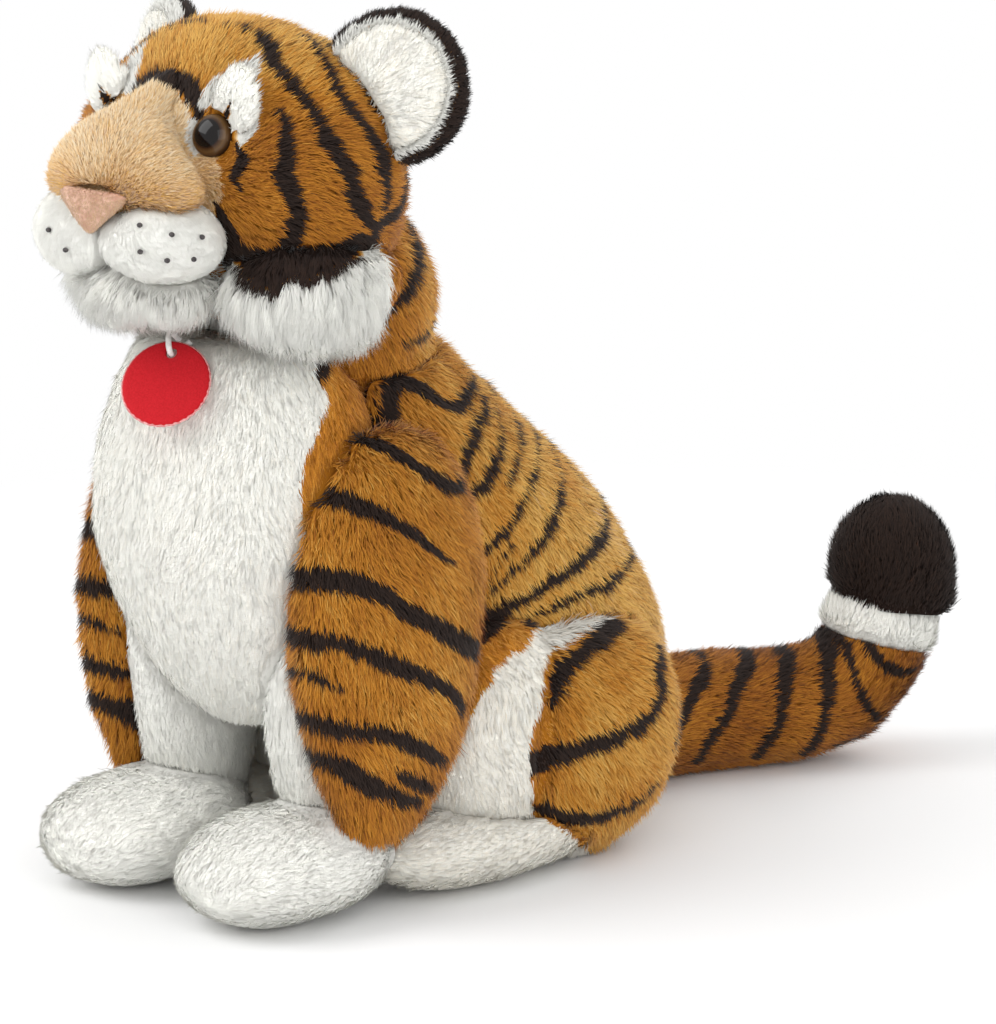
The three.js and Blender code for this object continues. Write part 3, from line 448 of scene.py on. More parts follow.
# Finish, inset of the skin, length of the fur, blades per square mm, width of a blade (mm),
# degrees of lean at the root and at the tip, tone, lay.
COATS = {
    "torso_back": ("striped_fur", 2.2, 7.5, 2.5, 0.48, (48, 72), torso_tone, flowing(0, 0.35, -1)),
    "neck": ("striped_fur", 2.4, 7.5, 2.2, 0.5, (46, 70), neck_tone, flowing(0, 0.3, -1)),
    "chest_bib": ("white_fur", 1.4, 6.5, 2.1, 0.5, (70, 86), bib_tone, flowing(0, 0, -1)),
    "sleeve": ("striped_fur", 2.4, 7.5, 2.5, 0.48, (48, 72), sleeve_tone, flowing(0.05, 0.15, -1)),
    "foreleg": ("white_fur", 1.4, 6.0, 2.0, 0.5, (70, 86), plain(WHITE), flowing(0, 0, -1)),
    "forepaw": ("white_fur", 1.4, 6.0, 2.15, 0.5, (70, 86), plain(WHITE), flowing(0, -1, -0.15)),
    "thigh_front": ("white_fur", 1.4, 6.0, 2.0, 0.5, (66, 84), haunch_tone, flowing(0, 0.2, -0.9)),
    "haunch": ("striped_fur", 2.4, 7.5, 2.5, 0.48, (48, 72), haunch_tone, flowing(0, 0.4, -0.8)),
    "hind_paw": ("white_fur", 1.4, 6.0, 2.0, 0.5, (70, 86), haunch_tone, flowing(0, -1, 0)),
    "head": ("striped_fur", 1.8, 6.5, 3.05, 0.43, (48, 72), head_tone,
             flowing(0, 0.1, -0.25, NOSE_MIDDLE, 1.0)),
    "muzzle": ("tan_plush", 0.9, 4.2, 4.6, 0.36, (50, 74), muzzle_tone,
               flowing(0, 0.4, 0.2, NOSE_MIDDLE, 0.8)),
    "whisker_pad": ("white_fur", 0.6, 3.4, 4.6, 0.36, (68, 85), plain(WHITE + 0.02),
                    flowing(0, 0, -0.5, (4, -232, 285), 0.8)),
    "nose": ("nose_plush", 0.0, 1.8, 6.0, 0.3, (50, 74), plain(PINK, 0.006), flowing(0, 0.2, -0.6)),
    "chin": ("white_fur", 2.0, 14.0, 3.2, 0.44, (52, 74), plain(WHITE), flowing(0, -0.05, -1)),
    "cheek_ruff": ("white_fur", 3.0, 15.0, 3.2, 0.44, (50, 72), ruff_tone, flowing(0.12, 0.05, -1)),
    "brow_patch": ("white_fur", 1.2, 5.5, 4.0, 0.4, (62, 82), brow_tone,
                   flowing(0.2, 0.1, 0.6, NOSE_MIDDLE, 0.8)),
    "ear_back": ("striped_fur", 1.4, 5.0, 3.2, 0.44, (44, 70), ear_tone,
                 flowing(0, 0, 0, (44, -146, 312), 1.0)),
    "ear_lining": ("white_fur", 0.4, 5.5, 3.4, 0.44, (74, 87), plain(WHITE - 0.03),
                   flowing(0, 0, 0, (48, -146, 314), 1.0)),
    "tail_striped": ("striped_fur", 2.0, 6.5, 2.5, 0.48, (48, 72), tail_tone, along_tail),
    "tail_ring": ("white_fur", 2.0, 6.5, 2.5, 0.48, (58, 78), plain(WHITE), along_tail),
    "tail_tip": ("black_fur", 2.0, 6.5, 2.5, 0.48, (46, 70), plain(BLACK), along_tail),
}
# The skins that are blown up as cloth, and the greatest move of each in mm.
STUFFED = {"torso_back": 3.0, "chest_bib": 3.0, "haunch": 3.0, "sleeve": 2.5}
# Coats whose fur keeps most of its length beside a neighbour.
SHAGGY = ("chin", "cheek_ruff", "ear_lining", "muzzle", "brow_patch")
# The size of a skin's cells in mm: finer for small pieces, and coarser for those that are blown up.
PLAIN_CELL, STUFFED_CELL = 3.0, 5.0
FINE = {"nose": 1.2, "ear_back": 1.6, "ear_lining": 1.4, "brow_patch": 1.4, "whisker_pad": 1.8, "muzzle": 1.8}
EYE_PLACE = np.array([30.0, -203.0, 312.0])


def fuller(points, kind, side):
    """The swell of some skins in mm; where it is negative the skin lies further in."""
    x, y, z = points.T
    if kind == "head":
        turn, height = angles(points)
        cheek = ramp(turn, 40, 58) * (1 - ramp(turn, 78, 96))
        cheek = cheek * ramp(height, -24, -10) * (1 - ramp(height, 12, 30))
        beside = np.exp(-(((turn - 41) / 6) ** 2)) * ramp(height, -18, -6) * (1 - ramp(height, 2, 12))
        return 1.6 * ramp(z, 322, 342) + 2.2 * cheek + 2.5 * beside - 2.0 * ramp(turn, 110, 150)
    if kind == "sleeve" and side < 0:
        return -7.0 * ramp(-x, 62, 82) * ramp(-y, 120, 165)
    if kind == "muzzle":
        return 5.5 * ramp(-y, 202, 222)
    if kind == "whisker_pad" and side < 0:
        return 2.5 * ramp(-x, 12, 30)
    if kind == "tail_ring":
        return 1.2 + 0 * x
    if kind == "neck":
        return -3.0 * ramp(y, -125, -95)
    if kind == "torso_back":
        return 1.5 * ramp(z, 198, 222) * ramp(y, -115, -95)
    if kind == "chest_bib":
        return 3.0 * ramp(np.abs(x), 25, 45)
    return np.zeros(len(points))


def length_share(points, kind):
    """The share of its length that fur keeps: less by the eyes, the cord, the band and the ruffs' ends."""
    if kind in ("head", "brow_patch", "muzzle"):
        away = np.linalg.norm(np.abs(points) - np.abs(EYE_PLACE), axis=1)
        return 0.35 + 0.65 * ramp(away, 8, 19)
    if kind == "cheek_ruff":
        dark = ruff_tone(points, points) < 0.5
        return np.where(dark, 0.45, 1.0) * (1 - 0.5 * ramp(points[:, 1], -165, -148))
    if kind == "chin":
        return 1 - 0.5 * np.exp(-((points[:, 0] - 10) / 9) ** 2) * ramp(-points[:, 2], -256, -238)
    return np.ones(len(points))


# Camera
LOOKS_AT = Vector((0.0283, -0.0462, 0.1418))


def camera():
    """45 degrees round, 12 degrees above the floor, 1.9 m from the point that it looks at."""
    turn, rise, away = math.radians(45), math.radians(12), 1.9
    back = Vector((math.sin(turn) * math.cos(rise), -math.cos(turn) * math.cos(rise), math.sin(rise)))
    lens = bpy.data.cameras.new("camera")
    lens.sensor_width, lens.lens = 36.0, 162.9
    eye = shown("camera", lens)
    eye.location = LOOKS_AT + back * away
    eye.rotation_euler = (-back).to_track_quat("-Z", "Y").to_euler()
    bpy.context.scene.camera = eye


# Meshes
def shown(name, data):
    """A new object in the scene."""
    made = bpy.data.objects.new(name, data)
    bpy.context.scene.collection.objects.link(made)
    return made


def put_points(mesh, points, times=1):
    """Moves the mesh's points to these places in mm, drawn that many times larger."""
    mesh.vertices.foreach_set("co", (points * MM * times).astype(np.float32).ravel())
    mesh.update()


def mesh_object(name, points, groups):
    """An object of points in mm and groups of faces, each group an array with a row of corners per face."""
    corners = np.concatenate([g.ravel() for g in groups]).astype(np.int32)
    totals = np.concatenate([np.full(len(g), g.shape[1], np.int32) for g in groups])
    mesh = bpy.data.meshes.new(name)
    mesh.vertices.add(len(points))
    mesh.vertices.foreach_set("co", (points * MM).astype(np.float32).ravel())
    mesh.loops.add(len(corners))
    mesh.loops.foreach_set("vertex_index", corners)
    mesh.polygons.add(len(totals))
    mesh.polygons.foreach_set("loop_start", (np.cumsum(totals) - totals).astype(np.int32))
    mesh.polygons.foreach_set("use_smooth", np.full(len(totals), True))
    mesh.update(calc_edges=True)
    mesh.validate()
    return shown(name, mesh)


def rows_of(collection, field, number):
    """One value of every item as rows of three numbers."""
    flat = np.zeros(len(collection) * 3, number)
    collection.foreach_get(field, flat)
    return flat.reshape(-1, 3)


def points_of(mesh):
    return rows_of(mesh.vertices, "co", np.float32).astype(float) / MM


def normals_of(mesh):
    return rows_of(mesh.vertex_normals, "vector", np.float32).astype(float)


def triangles_of(mesh):
    mesh.calc_loop_triangles()
    return rows_of(mesh.loop_triangles, "vertices", np.int32)


def whole_turn(sides):
    """The angles of that many points round a circle."""
    return np.linspace(0, 2 * np.pi, sides, endpoint=False)


def ring_walls(rings, sides, closed=False, flip=False):
    """Four-cornered faces from each ring of points to the next, and back to the first where closed."""
    i, j = np.meshgrid(np.arange(rings if closed else rings - 1), np.arange(sides), indexing="ij")
    i, j = i.ravel(), j.ravel()
    k, n = (j + 1) % sides, (i + 1) % rings
    walls = np.stack([i * sides + j, i * sides + k, n * sides + k, n * sides + j], axis=1)
    return walls[:, [0, 3, 2, 1]] if flip else walls


def end_fans(rings, sides, flip=False):
    """Triangles from two poles, which follow the rings in the list of points, to the first and last ring."""
    pole, last = rings * sides, (rings - 1) * sides
    s = np.arange(sides)
    t = (s + 1) % sides
    first_fan = np.stack([np.full(sides, pole), t, s], axis=1)
    last_fan = np.stack([np.full(sides, pole + 1), last + s, last + t], axis=1)
    fans = np.concatenate([first_fan, last_fan])
    return fans[:, [0, 2, 1]] if flip else fans


def swept(name, path, radius, sides=10):
    """A closed tube: a ring p + r (u cos a + v sin a) at each point of the path, u and v square to it."""
    ahead = unit(np.gradient(path, axis=0))
    u = unit(np.cross(ahead, [0.31, 0.52, 0.79]))
    v = np.cross(ahead, u)
    a = whole_turn(sides)[None, :, None]
    rings = path[:, None] + radius * (u[:, None] * np.cos(a) + v[:, None] * np.sin(a))
    points = np.concatenate([rings.reshape(-1, 3), path[:1], path[-1:]])
    return mesh_object(name, points, [ring_walls(len(path), sides), end_fans(len(path), sides)])


def smooth_path(knots, steps):
    """A Catmull-Rom line through the knots, as points.

    Between p1 and p2: 0.5 (2p1 + (p2 - p0) t + (2p0 - 5p1 + 4p2 - p3) t^2 + (3p1 - p0 - 3p2 + p3) t^3).
    """
    k = np.asarray(knots, float)
    k = np.concatenate([2 * k[:1] - k[1:2], k, 2 * k[-1:] - k[-2:-1]])
    t = np.linspace(0, 1, steps, endpoint=False)[:, None]
    parts = [
        0.5 * (2 * b + (c - a) * t + (2 * a - 5 * b + 4 * c - d) * t ** 2 + (3 * b - a - 3 * c + d) * t ** 3)
        for a, b, c, d in zip(k, k[1:], k[2:], k[3:])
    ]
    return np.concatenate(parts + [k[-2:-1]])


def turned(profile, middle, axis, sides):
    """A closed body of revolution: a ring of radius r at height h on the axis for each (r, h) given."""
    axis = unit(axis)
    u = unit(np.cross(UP, axis))
    v = np.cross(axis, u)
    a = whole_turn(sides)[:, None]
    r, h = np.asarray(profile, float).T
    ring = u * np.cos(a) + v * np.sin(a)
    points = middle + r[:, None, None] * ring[None] + h[:, None, None] * axis
    ends = np.stack([middle + h[0] * axis, middle + h[-1] * axis])
    faces = [ring_walls(len(r), sides), end_fans(len(r), sides)]
    return np.concatenate([points.reshape(-1, 3), ends]), faces


# Shader pieces
def add(tree, kind, **constants):
    """A shader node of that kind, with constants on the inputs named."""
    node = tree.nodes.new("ShaderNode" + kind)
    for label, value in constants.items():
        node.inputs[label.replace("_", " ")].default_value = value
    return node


def operation(tree, what, kind="Math"):
    node = add(tree, kind)
    node.operation = what
    return node


def placed(tree, group):
    node = add(tree, "Group")
    node.node_tree = group
    return node


def join(source, out, target, into):
    target.id_data.links.new(source.outputs[out], target.inputs[into])


def colour_row(tree, entries):
    """A row of colours, one stop for each (position, scene-linear colour)."""
    row = add(tree, "ValToRGB")
    stops = row.color_ramp.elements
    while len(stops) < len(entries):
        stops.new(0.5)
    for stop, (position, _) in zip(stops, entries):
        stop.position = position
    for stop, (_, colour) in zip(stops, entries):
        stop.color = colour
    return row


def node_group(name, inputs, output, kind):
    """An empty group with number inputs of these values and one output."""
    group = bpy.data.node_groups.new(name, "ShaderNodeTree")
    for label, value in inputs.items():
        made = group.interface.new_socket(label, in_out="INPUT", socket_type="NodeSocketFloat")
        made.default_value = value
    group.interface.new_socket(output, in_out="OUTPUT", socket_type=kind)
    return group, group.nodes.new("NodeGroupInput"), group.nodes.new("NodeGroupOutput")


def pile_colour_group():
    """Colour of the pile from its tone and the share of the way from root to tip."""
    group, source, out = node_group("pile colour", {"Tone": GOLD, "Along": 0.0}, "Color", "NodeSocketColor")
    root = colour_row(group, [(tone, linear(low)) for tone, low, _ in TONES])
    tip = colour_row(group, [(tone, linear(high)) for tone, _, high in TONES])
    blend = add(group, "Mix")
    blend.data_type = "RGBA"
    join(source, "Tone", root, "Fac")
    join(source, "Tone", tip, "Fac")
    join(source, "Along", blend, "Factor")
    join(root, "Color", blend, "A")
    join(tip, "Color", blend, "B")
    join(blend, "Result", out, "Color")
    return group


def nap_group():
    """Height of a fine nap: two sizes of noise added."""
    group, source, out = node_group("nap height", {"Scale": 900.0}, "Height", "NodeSocketFloat")
    place, total = add(group, "TexCoord"), operation(group, "ADD")
    fine, coarse = add(group, "TexNoise"), add(group, "TexNoise", Scale=160.0)
    join(place, "Object", fine, "Vector")
    join(place, "Object", coarse, "Vector")
    join(source, "Scale", fine, "Scale")
    join(fine, 0, total, 0)
    join(coarse, 0, total, 1)
    join(total, 0, out, "Height")
    return group


def material(name, roughness, **constants):
    """An empty node material with its shader, whose constants are set on the shader's own sockets."""
    made = bpy.data.materials.new(name)
    made.use_nodes = True
    shader = made.node_tree.nodes["Principled BSDF"]
    shader.inputs["Roughness"].default_value = roughness
    for label, value in constants.items():
        shader.inputs[label.replace("_", " ")].default_value = value
    return made, made.node_tree, shader


def bumped(shader, nap, strength, distance):
    """Gives the shader the nap's height as a bump, that many metres high."""
    height = placed(shader.id_data, nap)
    bump = add(shader.id_data, "Bump", Strength=strength, Distance=distance)
    join(height, "Height", bump, "Height")
    join(bump, "Normal", shader, "Normal")


def pile_material(name, group, sheen, **constants):
    """Fur blades: their tone is read across the map, and root to tip up its lower half."""
    gloss = {"Specular_IOR_Level": 0.18, "Sheen_Weight": sheen, "Sheen_Roughness": 0.5}
    made, tree, shader = material(name, 0.75, **gloss, **constants)
    shader.subsurface_method = "BURLEY"
    where, parts, colour = add(tree, "UVMap"), add(tree, "SeparateXYZ"), placed(tree, group)
    where.uv_map = "OFBake"
    stretch = operation(tree, "MULTIPLY")
    stretch.inputs[1].default_value = 2.0
    stretch.use_clamp = True
    join(where, "UV", parts, 0)
    join(parts, "Y", stretch, 0)
    join(parts, "X", colour, "Tone")
    join(stretch, 0, colour, "Along")
    join(colour, "Color", shader, "Base Color")
    return made


def backing_material(name, group, nap):
    """The cloth that the pile stands in: the same tones near the root, from the skin's own tone attribute."""
    made, tree, shader = material(name, 0.9, Specular_IOR_Level=0.1)
    tone, colour = add(tree, "Attribute"), placed(tree, group)
    tone.attribute_name = "tone"
    colour.inputs["Along"].default_value = 0.25
    join(tone, "Fac", colour, "Tone")
    join(colour, "Color", shader, "Base Color")
    bumped(shader, nap, 0.5, 0.0004)
    return made


def speckled(name, nap, low, high, scale, roughness, bump_height, **constants):
    """Cloth or felt whose colour wanders between two written colours, with a nap."""
    made, tree, shader = material(name, roughness, **constants)
    place, patches = add(tree, "TexCoord"), add(tree, "TexNoise", Scale=scale)
    row = colour_row(tree, [(0.35, linear(low)), (0.65, linear(high))])
    join(place, "Object", patches, "Vector")
    join(patches, 0, row, "Fac")
    join(row, "Color", shader, "Base Color")
    bumped(shader, nap, 0.6, bump_height)
    return made


def eye_material():
    """Rings of colour by the share of the way out from the middle: black pupil, amber, dark rim."""
    made, tree, shader = material("amber eye", 0.08, Specular_IOR_Level=0.28)
    out = add(tree, "Attribute")
    out.attribute_name = "out"
    rings = [(0.0, (14, 11, 11)), (0.62, (18, 13, 12)), (0.70, (60, 38, 22)), (0.84, (100, 74, 44)),
             (0.93, (84, 60, 36)), (1.0, (34, 24, 18))]
    row = colour_row(tree, [(position, linear(colour)) for position, colour in rings])
    join(out, "Fac", row, "Fac")
    join(row, "Color", shader, "Base Color")
    return made


# Skins
def merged(node):
    """Points and triangles of a CAD node with its loose corners joined, as a mesh of its own."""
    mesh = bpy.data.meshes.new(node + "_joined")
    work = bmesh.new()
    work.from_mesh(frame["nodes"][node].data)
    bmesh.ops.remove_doubles(work, verts=work.verts, dist=1e-6)
    work.to_mesh(mesh)
    work.free()
    return mesh


CAD_MESHES = {n: merged(n) for n in frame["nodes"]}


def tree_without(node):
    """One search tree of every other solid's triangles."""
    points, faces, count = [], [], 0
    for other, mesh in CAD_MESHES.items():
        if other == node or other.startswith(("eye_washer", "tag_")):
            continue
        points.append(points_of(mesh))
        faces.append(triangles_of(mesh) + count)
        count += len(points[-1])
    return BVHTree.FromPolygons(np.concatenate(points).tolist(), np.concatenate(faces).tolist())


def room_over(points, normals, others, start=1.5, reach=16.0):
    """How far each point can move along its normal before it meets another solid or the floor, in mm."""
    room = np.full(len(points), reach)
    for i, (p, n) in enumerate(zip(points - start * normals, normals)):
        hit = others.ray_cast(p.tolist(), n.tolist(), reach + start)
        if hit[3] is not None:
            room[i] = hit[3] - start
    down = normals[:, 2] < -0.05
    floor = np.full(len(points), reach)
    floor[down] = points[down, 2] / -normals[down, 2]
    return np.minimum(room, floor)


def round_end(points):
    """The tail's end becomes a dome 26 mm in radius and 31 mm high on a round column of the same radius."""
    middle, radii = np.array([43.4, 186.2, 83.0]), np.array([26.0, 26.0, 31.0])
    q = (points - middle) / radii
    q[:, 2] = np.maximum(q[:, 2], 0)
    share = 1 / np.maximum(np.linalg.norm(q, axis=1), 0.35) - 1
    share *= ramp(points[:, 2], 61, 67)
    moved = (points - middle) * (1 + share[:, None] * np.array([1.0, 1.0, 0.0]))
    rise = points[:, 2] > middle[2]
    moved[rise, 2] = ((points - middle) * (1 + share[:, None]))[rise, 2]
    return middle + moved


def pads_together(points, normals):
    """The pads' fronts are pressed together, and the share of each point that took part.

    The front is y = -216 - 21 sqrt(1 - a^2 - b^2), where a is taken at 45% of the way in from x = 22.
    """
    x, z = np.abs(points[:, 0]), points[:, 2]
    a, b = 0.45 * np.minimum(x - 22, 0) / 21.5, (z - 271) / 16.4
    front = -216 - 21 * np.sqrt(np.clip(1 - a ** 2 - b ** 2, 0, 1)) + 1.5 * np.exp(-((x / 2.5) ** 2))
    share = ramp(-normals[:, 1], 0.1, 0.4) * (x < 22)
    moved = points.copy()
    moved[:, 1] -= share * np.clip(points[:, 1] - front, 0, 12)
    return moved, np.maximum(share, 0)


def nose_skin():
    """A soft three-cornered cushion, domed both ways.

    Its outline is r(a) = (sum of max(0, n.d / e)^9)^(-1/9) over its five edges. A ring at share s lies at
    r(a) s, and stands 4.5 sqrt(1 - s^2) forward or 4 sqrt(1 - s^2) back of the rim.
    """
    sides, forward, back, middle = 48, -4.5, 4.0, np.array([0.0, -237.0, 284.6])
    edges = [((0, 1), 6.5), ((-0.6, -0.8), 8.6), ((0.6, -0.8), 8.6), ((1, 0), 19.5), ((-1, 0), 19.5)]
    a = whole_turn(sides)
    ways = np.stack([np.cos(a), np.sin(a)], axis=1)
    reach = sum(np.maximum(0, ways @ np.array(n, float) / e) ** 9 for n, e in edges) ** (-1 / 9)
    shares = np.array([0.16, 0.34, 0.52, 0.7, 0.85, 0.95, 1.0, 0.95, 0.8, 0.55, 0.25])
    rings, rim = len(shares), 6
    depth = np.sqrt(1 - np.minimum(shares, 1) ** 2) * np.where(np.arange(rings) <= rim, forward, back)
    flat = shares[:, None, None] * (reach[:, None] * ways)[None]
    y = depth[:, None] + 0.006 * flat[..., 0] ** 2
    grid = np.stack([flat[..., 0], y, flat[..., 1]], axis=2).reshape(-1, 3)
    points = np.concatenate([grid, [[0, forward, 0], [0, back, 0]]]) + middle
    faces = [ring_walls(rings, sides, flip=True), end_fans(rings, sides, flip=True)]
    skin = mesh_object("nose_plush", points, faces)
    return skin, points, normals_of(skin.data), np.ones(len(points))


CLOTH_FRAMES, CLOTH_SCALE = 20, 5
FAR_EAR_DROP = 4.0


def inflated(mesh, clear, cap):
    """The skin blown up as cloth under pressure, held along its seams, and then subdivided once.

    It is blown up at five times its size, where Blender's cloth gives way as real plush does. A move of
    length d is kept as cap (1 - exp(-d / cap)), so that no point moves further than the cap.
    """
    shell = shown("inflating", mesh)
    before = points_of(mesh)
    put_points(mesh, before, CLOTH_SCALE)
    shell.vertex_groups.new(name="held").add(np.flatnonzero(clear < 0.3).tolist(), 1.0, "REPLACE")
    cloth = shell.modifiers.new("cloth", "CLOTH")
    cloth.settings.use_pressure, cloth.settings.uniform_pressure_force = True, 30.0
    cloth.settings.vertex_group_mass = "held"
    cloth.settings.mass, cloth.settings.air_damping = 0.01, 0.0
    cloth.settings.effector_weights.gravity = 0.0
    cloth.point_cache.frame_start, cloth.point_cache.frame_end = 1, CLOTH_FRAMES
    for number in range(1, CLOTH_FRAMES + 1):
        bpy.context.scene.frame_set(number)
    blown = shell.evaluated_get(bpy.context.evaluated_depsgraph_get())
    move = points_of(blown.to_mesh()) / CLOTH_SCALE - before
    blown.to_mesh_clear()
    shell.modifiers.remove(cloth)
    far = np.maximum(np.linalg.norm(move, axis=1), 1e-6)
    points = before + move * (cap * (1 - np.exp(-far / cap)) / far)[:, None]
    points[:, 2] = np.maximum(points[:, 2], LOWEST)
    put_points(mesh, points)
    bpy.context.scene.frame_set(1)
    finer = shell.modifiers.new("finer", "SUBSURF")
    finer.levels = finer.render_levels = 1
    made = bpy.data.meshes.new_from_object(shell.evaluated_get(bpy.context.evaluated_depsgraph_get()))
    bpy.data.objects.remove(shell)
    return made


def skin_of(node, kind, inset):
    """The stuffed skin: the solid in cells of one size, relaxed, and drawn in where its pile stands clear.

    It comes with its points, their normals, and the share to which each lies clear of its neighbours.
    """
    stuffed, side = kind in STUFFED, -1 if node.endswith("_right") else 1
    rough = shown(node + "_rough", CAD_MESHES[node])
    cells = rough.modifiers.new("cells", "REMESH")
    cells.mode, cells.use_smooth_shade = "VOXEL", True
    cells.voxel_size = (STUFFED_CELL if stuffed else FINE.get(kind, PLAIN_CELL)) * MM
    relax = rough.modifiers.new("relax", "SMOOTH")
    relax.factor, relax.iterations = 0.5, 4 if stuffed else 10
    mesh = bpy.data.meshes.new_from_object(rough.evaluated_get(bpy.context.evaluated_depsgraph_get()))
    bpy.data.objects.remove(rough)
    points, normals = points_of(mesh), normals_of(mesh)
    others = tree_without(node)
    clear = ramp(room_over(points, normals, others), 1.5, 6.0)
    lumps = 0.7 * noise(points, 24, 31) + 0.3 * noise(points, 9, 32) + fuller(points, kind, side)
    drawn = inset + ((0.3 * STUFFED.get(kind, 0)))
    points = points - normals * (clear * (drawn - lumps))[:, None]
    points[:, 2] = np.maximum(points[:, 2], LOWEST)
    if kind == "tail_tip":
        points = round_end(points)
    if node in ("ear_back_right", "ear_lining_right"):
        points[:, 2] -= FAR_EAR_DROP * ramp(points[:, 2], 312, 340)
    if kind == "whisker_pad":
        points, front = pads_together(points, normals)
        clear = np.maximum(clear, front)
    put_points(mesh, points)
    if stuffed:
        mesh = inflated(mesh, clear, STUFFED[kind])
        points, normals = points_of(mesh), normals_of(mesh)
        clear = ramp(room_over(points, normals, others) - 0.7 * inset, 1.5, 6.0)
    mesh.name = node + "_plush"
    return shown(node + "_plush", mesh), points, normals_of(mesh), clear


# Pile
def spread_wide(clear, faces, steps):
    """The greatest clear share within that many edges of each point."""
    wide = clear.copy()
    for _ in range(steps):
        highest = wide[faces].max(1)
        for k in range(3):
            np.maximum.at(wide, faces[:, k], highest)
    return wide


# How white pile and other pile grow: pull towards the tuft, scatter of the lean in degrees, share of strays,
# and how much of the skin's normal and of the blade's own normal they take in shading.
WHITE_GROWTH = (0.06, 4, 0.02, 0.92, 0.12)
OTHER_GROWTH = (0.1, 8, 0.05, 0.75, 0.35)
WHITE_SCATTER, OTHER_SCATTER = 0.012, 0.03  # of the tone, from blade to blade
STREAK_SHARE, STREAK = 0.12, -0.09  # of the blades of other pile, and how much darker their tone is
TONE_MAP_SIZE = 1024


def blades(name, points, normals, clear, near, faces, coat, kind, side, chance):
    """Fur blades over a skin, each a kite of two triangles that bends over at its widest and ends in a point.

    A root is a chance point of a chance triangle. The blade leaves at an angle from the normal that grows
    from root to tip, in the plane of the normal and the lay, and turns towards the middle of its tuft.
    """
    slot, _, length, density, width, (low_lean, high_lean), tone_at, lay = coat
    growth = WHITE_GROWTH if slot == "white_fur" else OTHER_GROWTH
    pull, scatter, stray_share, skin_part, blade_part = growth
    a, b, c = (points[faces[:, k]] for k in range(3))
    area = np.linalg.norm(np.cross(b - a, c - a), axis=1) / 2
    weight = area * np.where(near[faces].mean(1) > 0.04, 0.45 + 0.55 * clear[faces].mean(1), 0)
    count = int(weight.sum() * density)
    picks = np.searchsorted(np.cumsum(weight) / weight.sum(), chance.random(count)).clip(0, len(faces) - 1)
    u, v = chance.random(count), chance.random(count)
    u, v = np.where(u + v > 1, 1 - u, u), np.where(u + v > 1, 1 - v, v)
    one, two, three = faces[picks].T

    def mix(rows):
        return (rows[one].T * (1 - u - v) + rows[two].T * u + rows[three].T * v).T

    root, normal = mix(points), unit(mix(normals))
    free = mix(np.maximum(clear, 0.8 * near) if kind in SHAGGY else clear)
    flow = lay(root, side)
    swirl = np.cross(normal, flow)
    turn = 20 * noise(root, 19, 41) + 12 * noise(root, 6, 42) + chance.normal(0, 9, count)
    turn = np.radians(turn)[:, None]
    flow = unit(flow) * np.cos(turn) + unit(swirl) * np.sin(turn)
    tuft = tuft_centres(root, 1.2 + 0.3 * length, 50) - root
    flow = flow + pull * tuft * (1 + 0.5 * noise(root, 8, 43))[:, None]
    flow = unit(flow - normal * (flow * normal).sum(1, keepdims=True))
    lengths = length * (0.35 + 0.65 * free) * (0.78 + 0.4 * chance.random(count))
    lengths = lengths * (1 + 0.12 * noise(root, 11, 44)) * length_share(root, kind)
    stray = chance.random(count) < stray_share
    lean = np.radians(low_lean + scatter * chance.normal(0, 1, count) + 6 * noise(root, 7, 45) - 20 * stray)
    bend = lean + np.radians(high_lean - low_lean + 6 * chance.normal(0, 1, count))
    ways = [normal * np.cos(x)[:, None] + flow * np.sin(x)[:, None] for x in (lean, bend)]
    start = root - 0.5 * normal
    mid = start + ways[0] * (0.45 * lengths)[:, None]
    tip = mid + ways[1] * (0.55 * lengths)[:, None]
    roll = np.radians(chance.uniform(-30, 30, count))[:, None]
    across = unit(np.cross(ways[0], normal))
    across = across * np.cos(roll) + np.cross(across, ways[0]) * np.sin(roll)
    half = (width * 0.5 * (0.8 + 0.4 * chance.random(count)))[:, None]
    corners = np.stack([start, mid - across * half, mid + across * half, tip], axis=1)
    corners[:, :, 2] = np.maximum(corners[:, :, 2], LOWEST)

    tone = tone_at(root if kind == "cheek_ruff" else 0.4 * mid + 0.6 * tip, normal)
    dark, light = tone < 0.15, tone > 0.88
    jitter = chance.normal(0, 1, count)
    streak = np.where(chance.random(count) < STREAK_SHARE, STREAK, 0.0)
    varied = tone + np.where(light, WHITE_SCATTER, OTHER_SCATTER) * jitter + np.where(light, 0, streak)
    tone = np.where(dark, BLACK + 0.025 * jitter, varied)
    if slot == "nose_plush":
        tone = PINK + 0.004 * jitter
    tone = np.clip(tone, 0.01, 0.985)
    first = np.arange(count)[:, None] * 4
    kites = np.concatenate([first + [0, 2, 1], first + [1, 2, 3]], axis=1).reshape(-1, 3)
    made = mesh_object(name, corners.reshape(-1, 3), [kites])
    u_places = tone[:, None] + np.array([0.0, -1.0, 1.0, 0.0]) / TONE_MAP_SIZE
    table = np.stack([u_places, np.tile([0.0, 0.25, 0.25, 0.5], (count, 1))], axis=2)
    layer = made.data.uv_layers.new(name="OFBake")
    layer.data.foreach_set("uv", table.reshape(-1, 2)[kites.ravel()].astype(np.float32).ravel())
    flat = unit(np.cross(across, ways[1]))
    soft = unit(skin_part * normal + blade_part * flat + 0.12 * ways[1])
    made.data.normals_split_custom_set_from_vertices(np.repeat(soft, 4, axis=0))
    return made


camera()

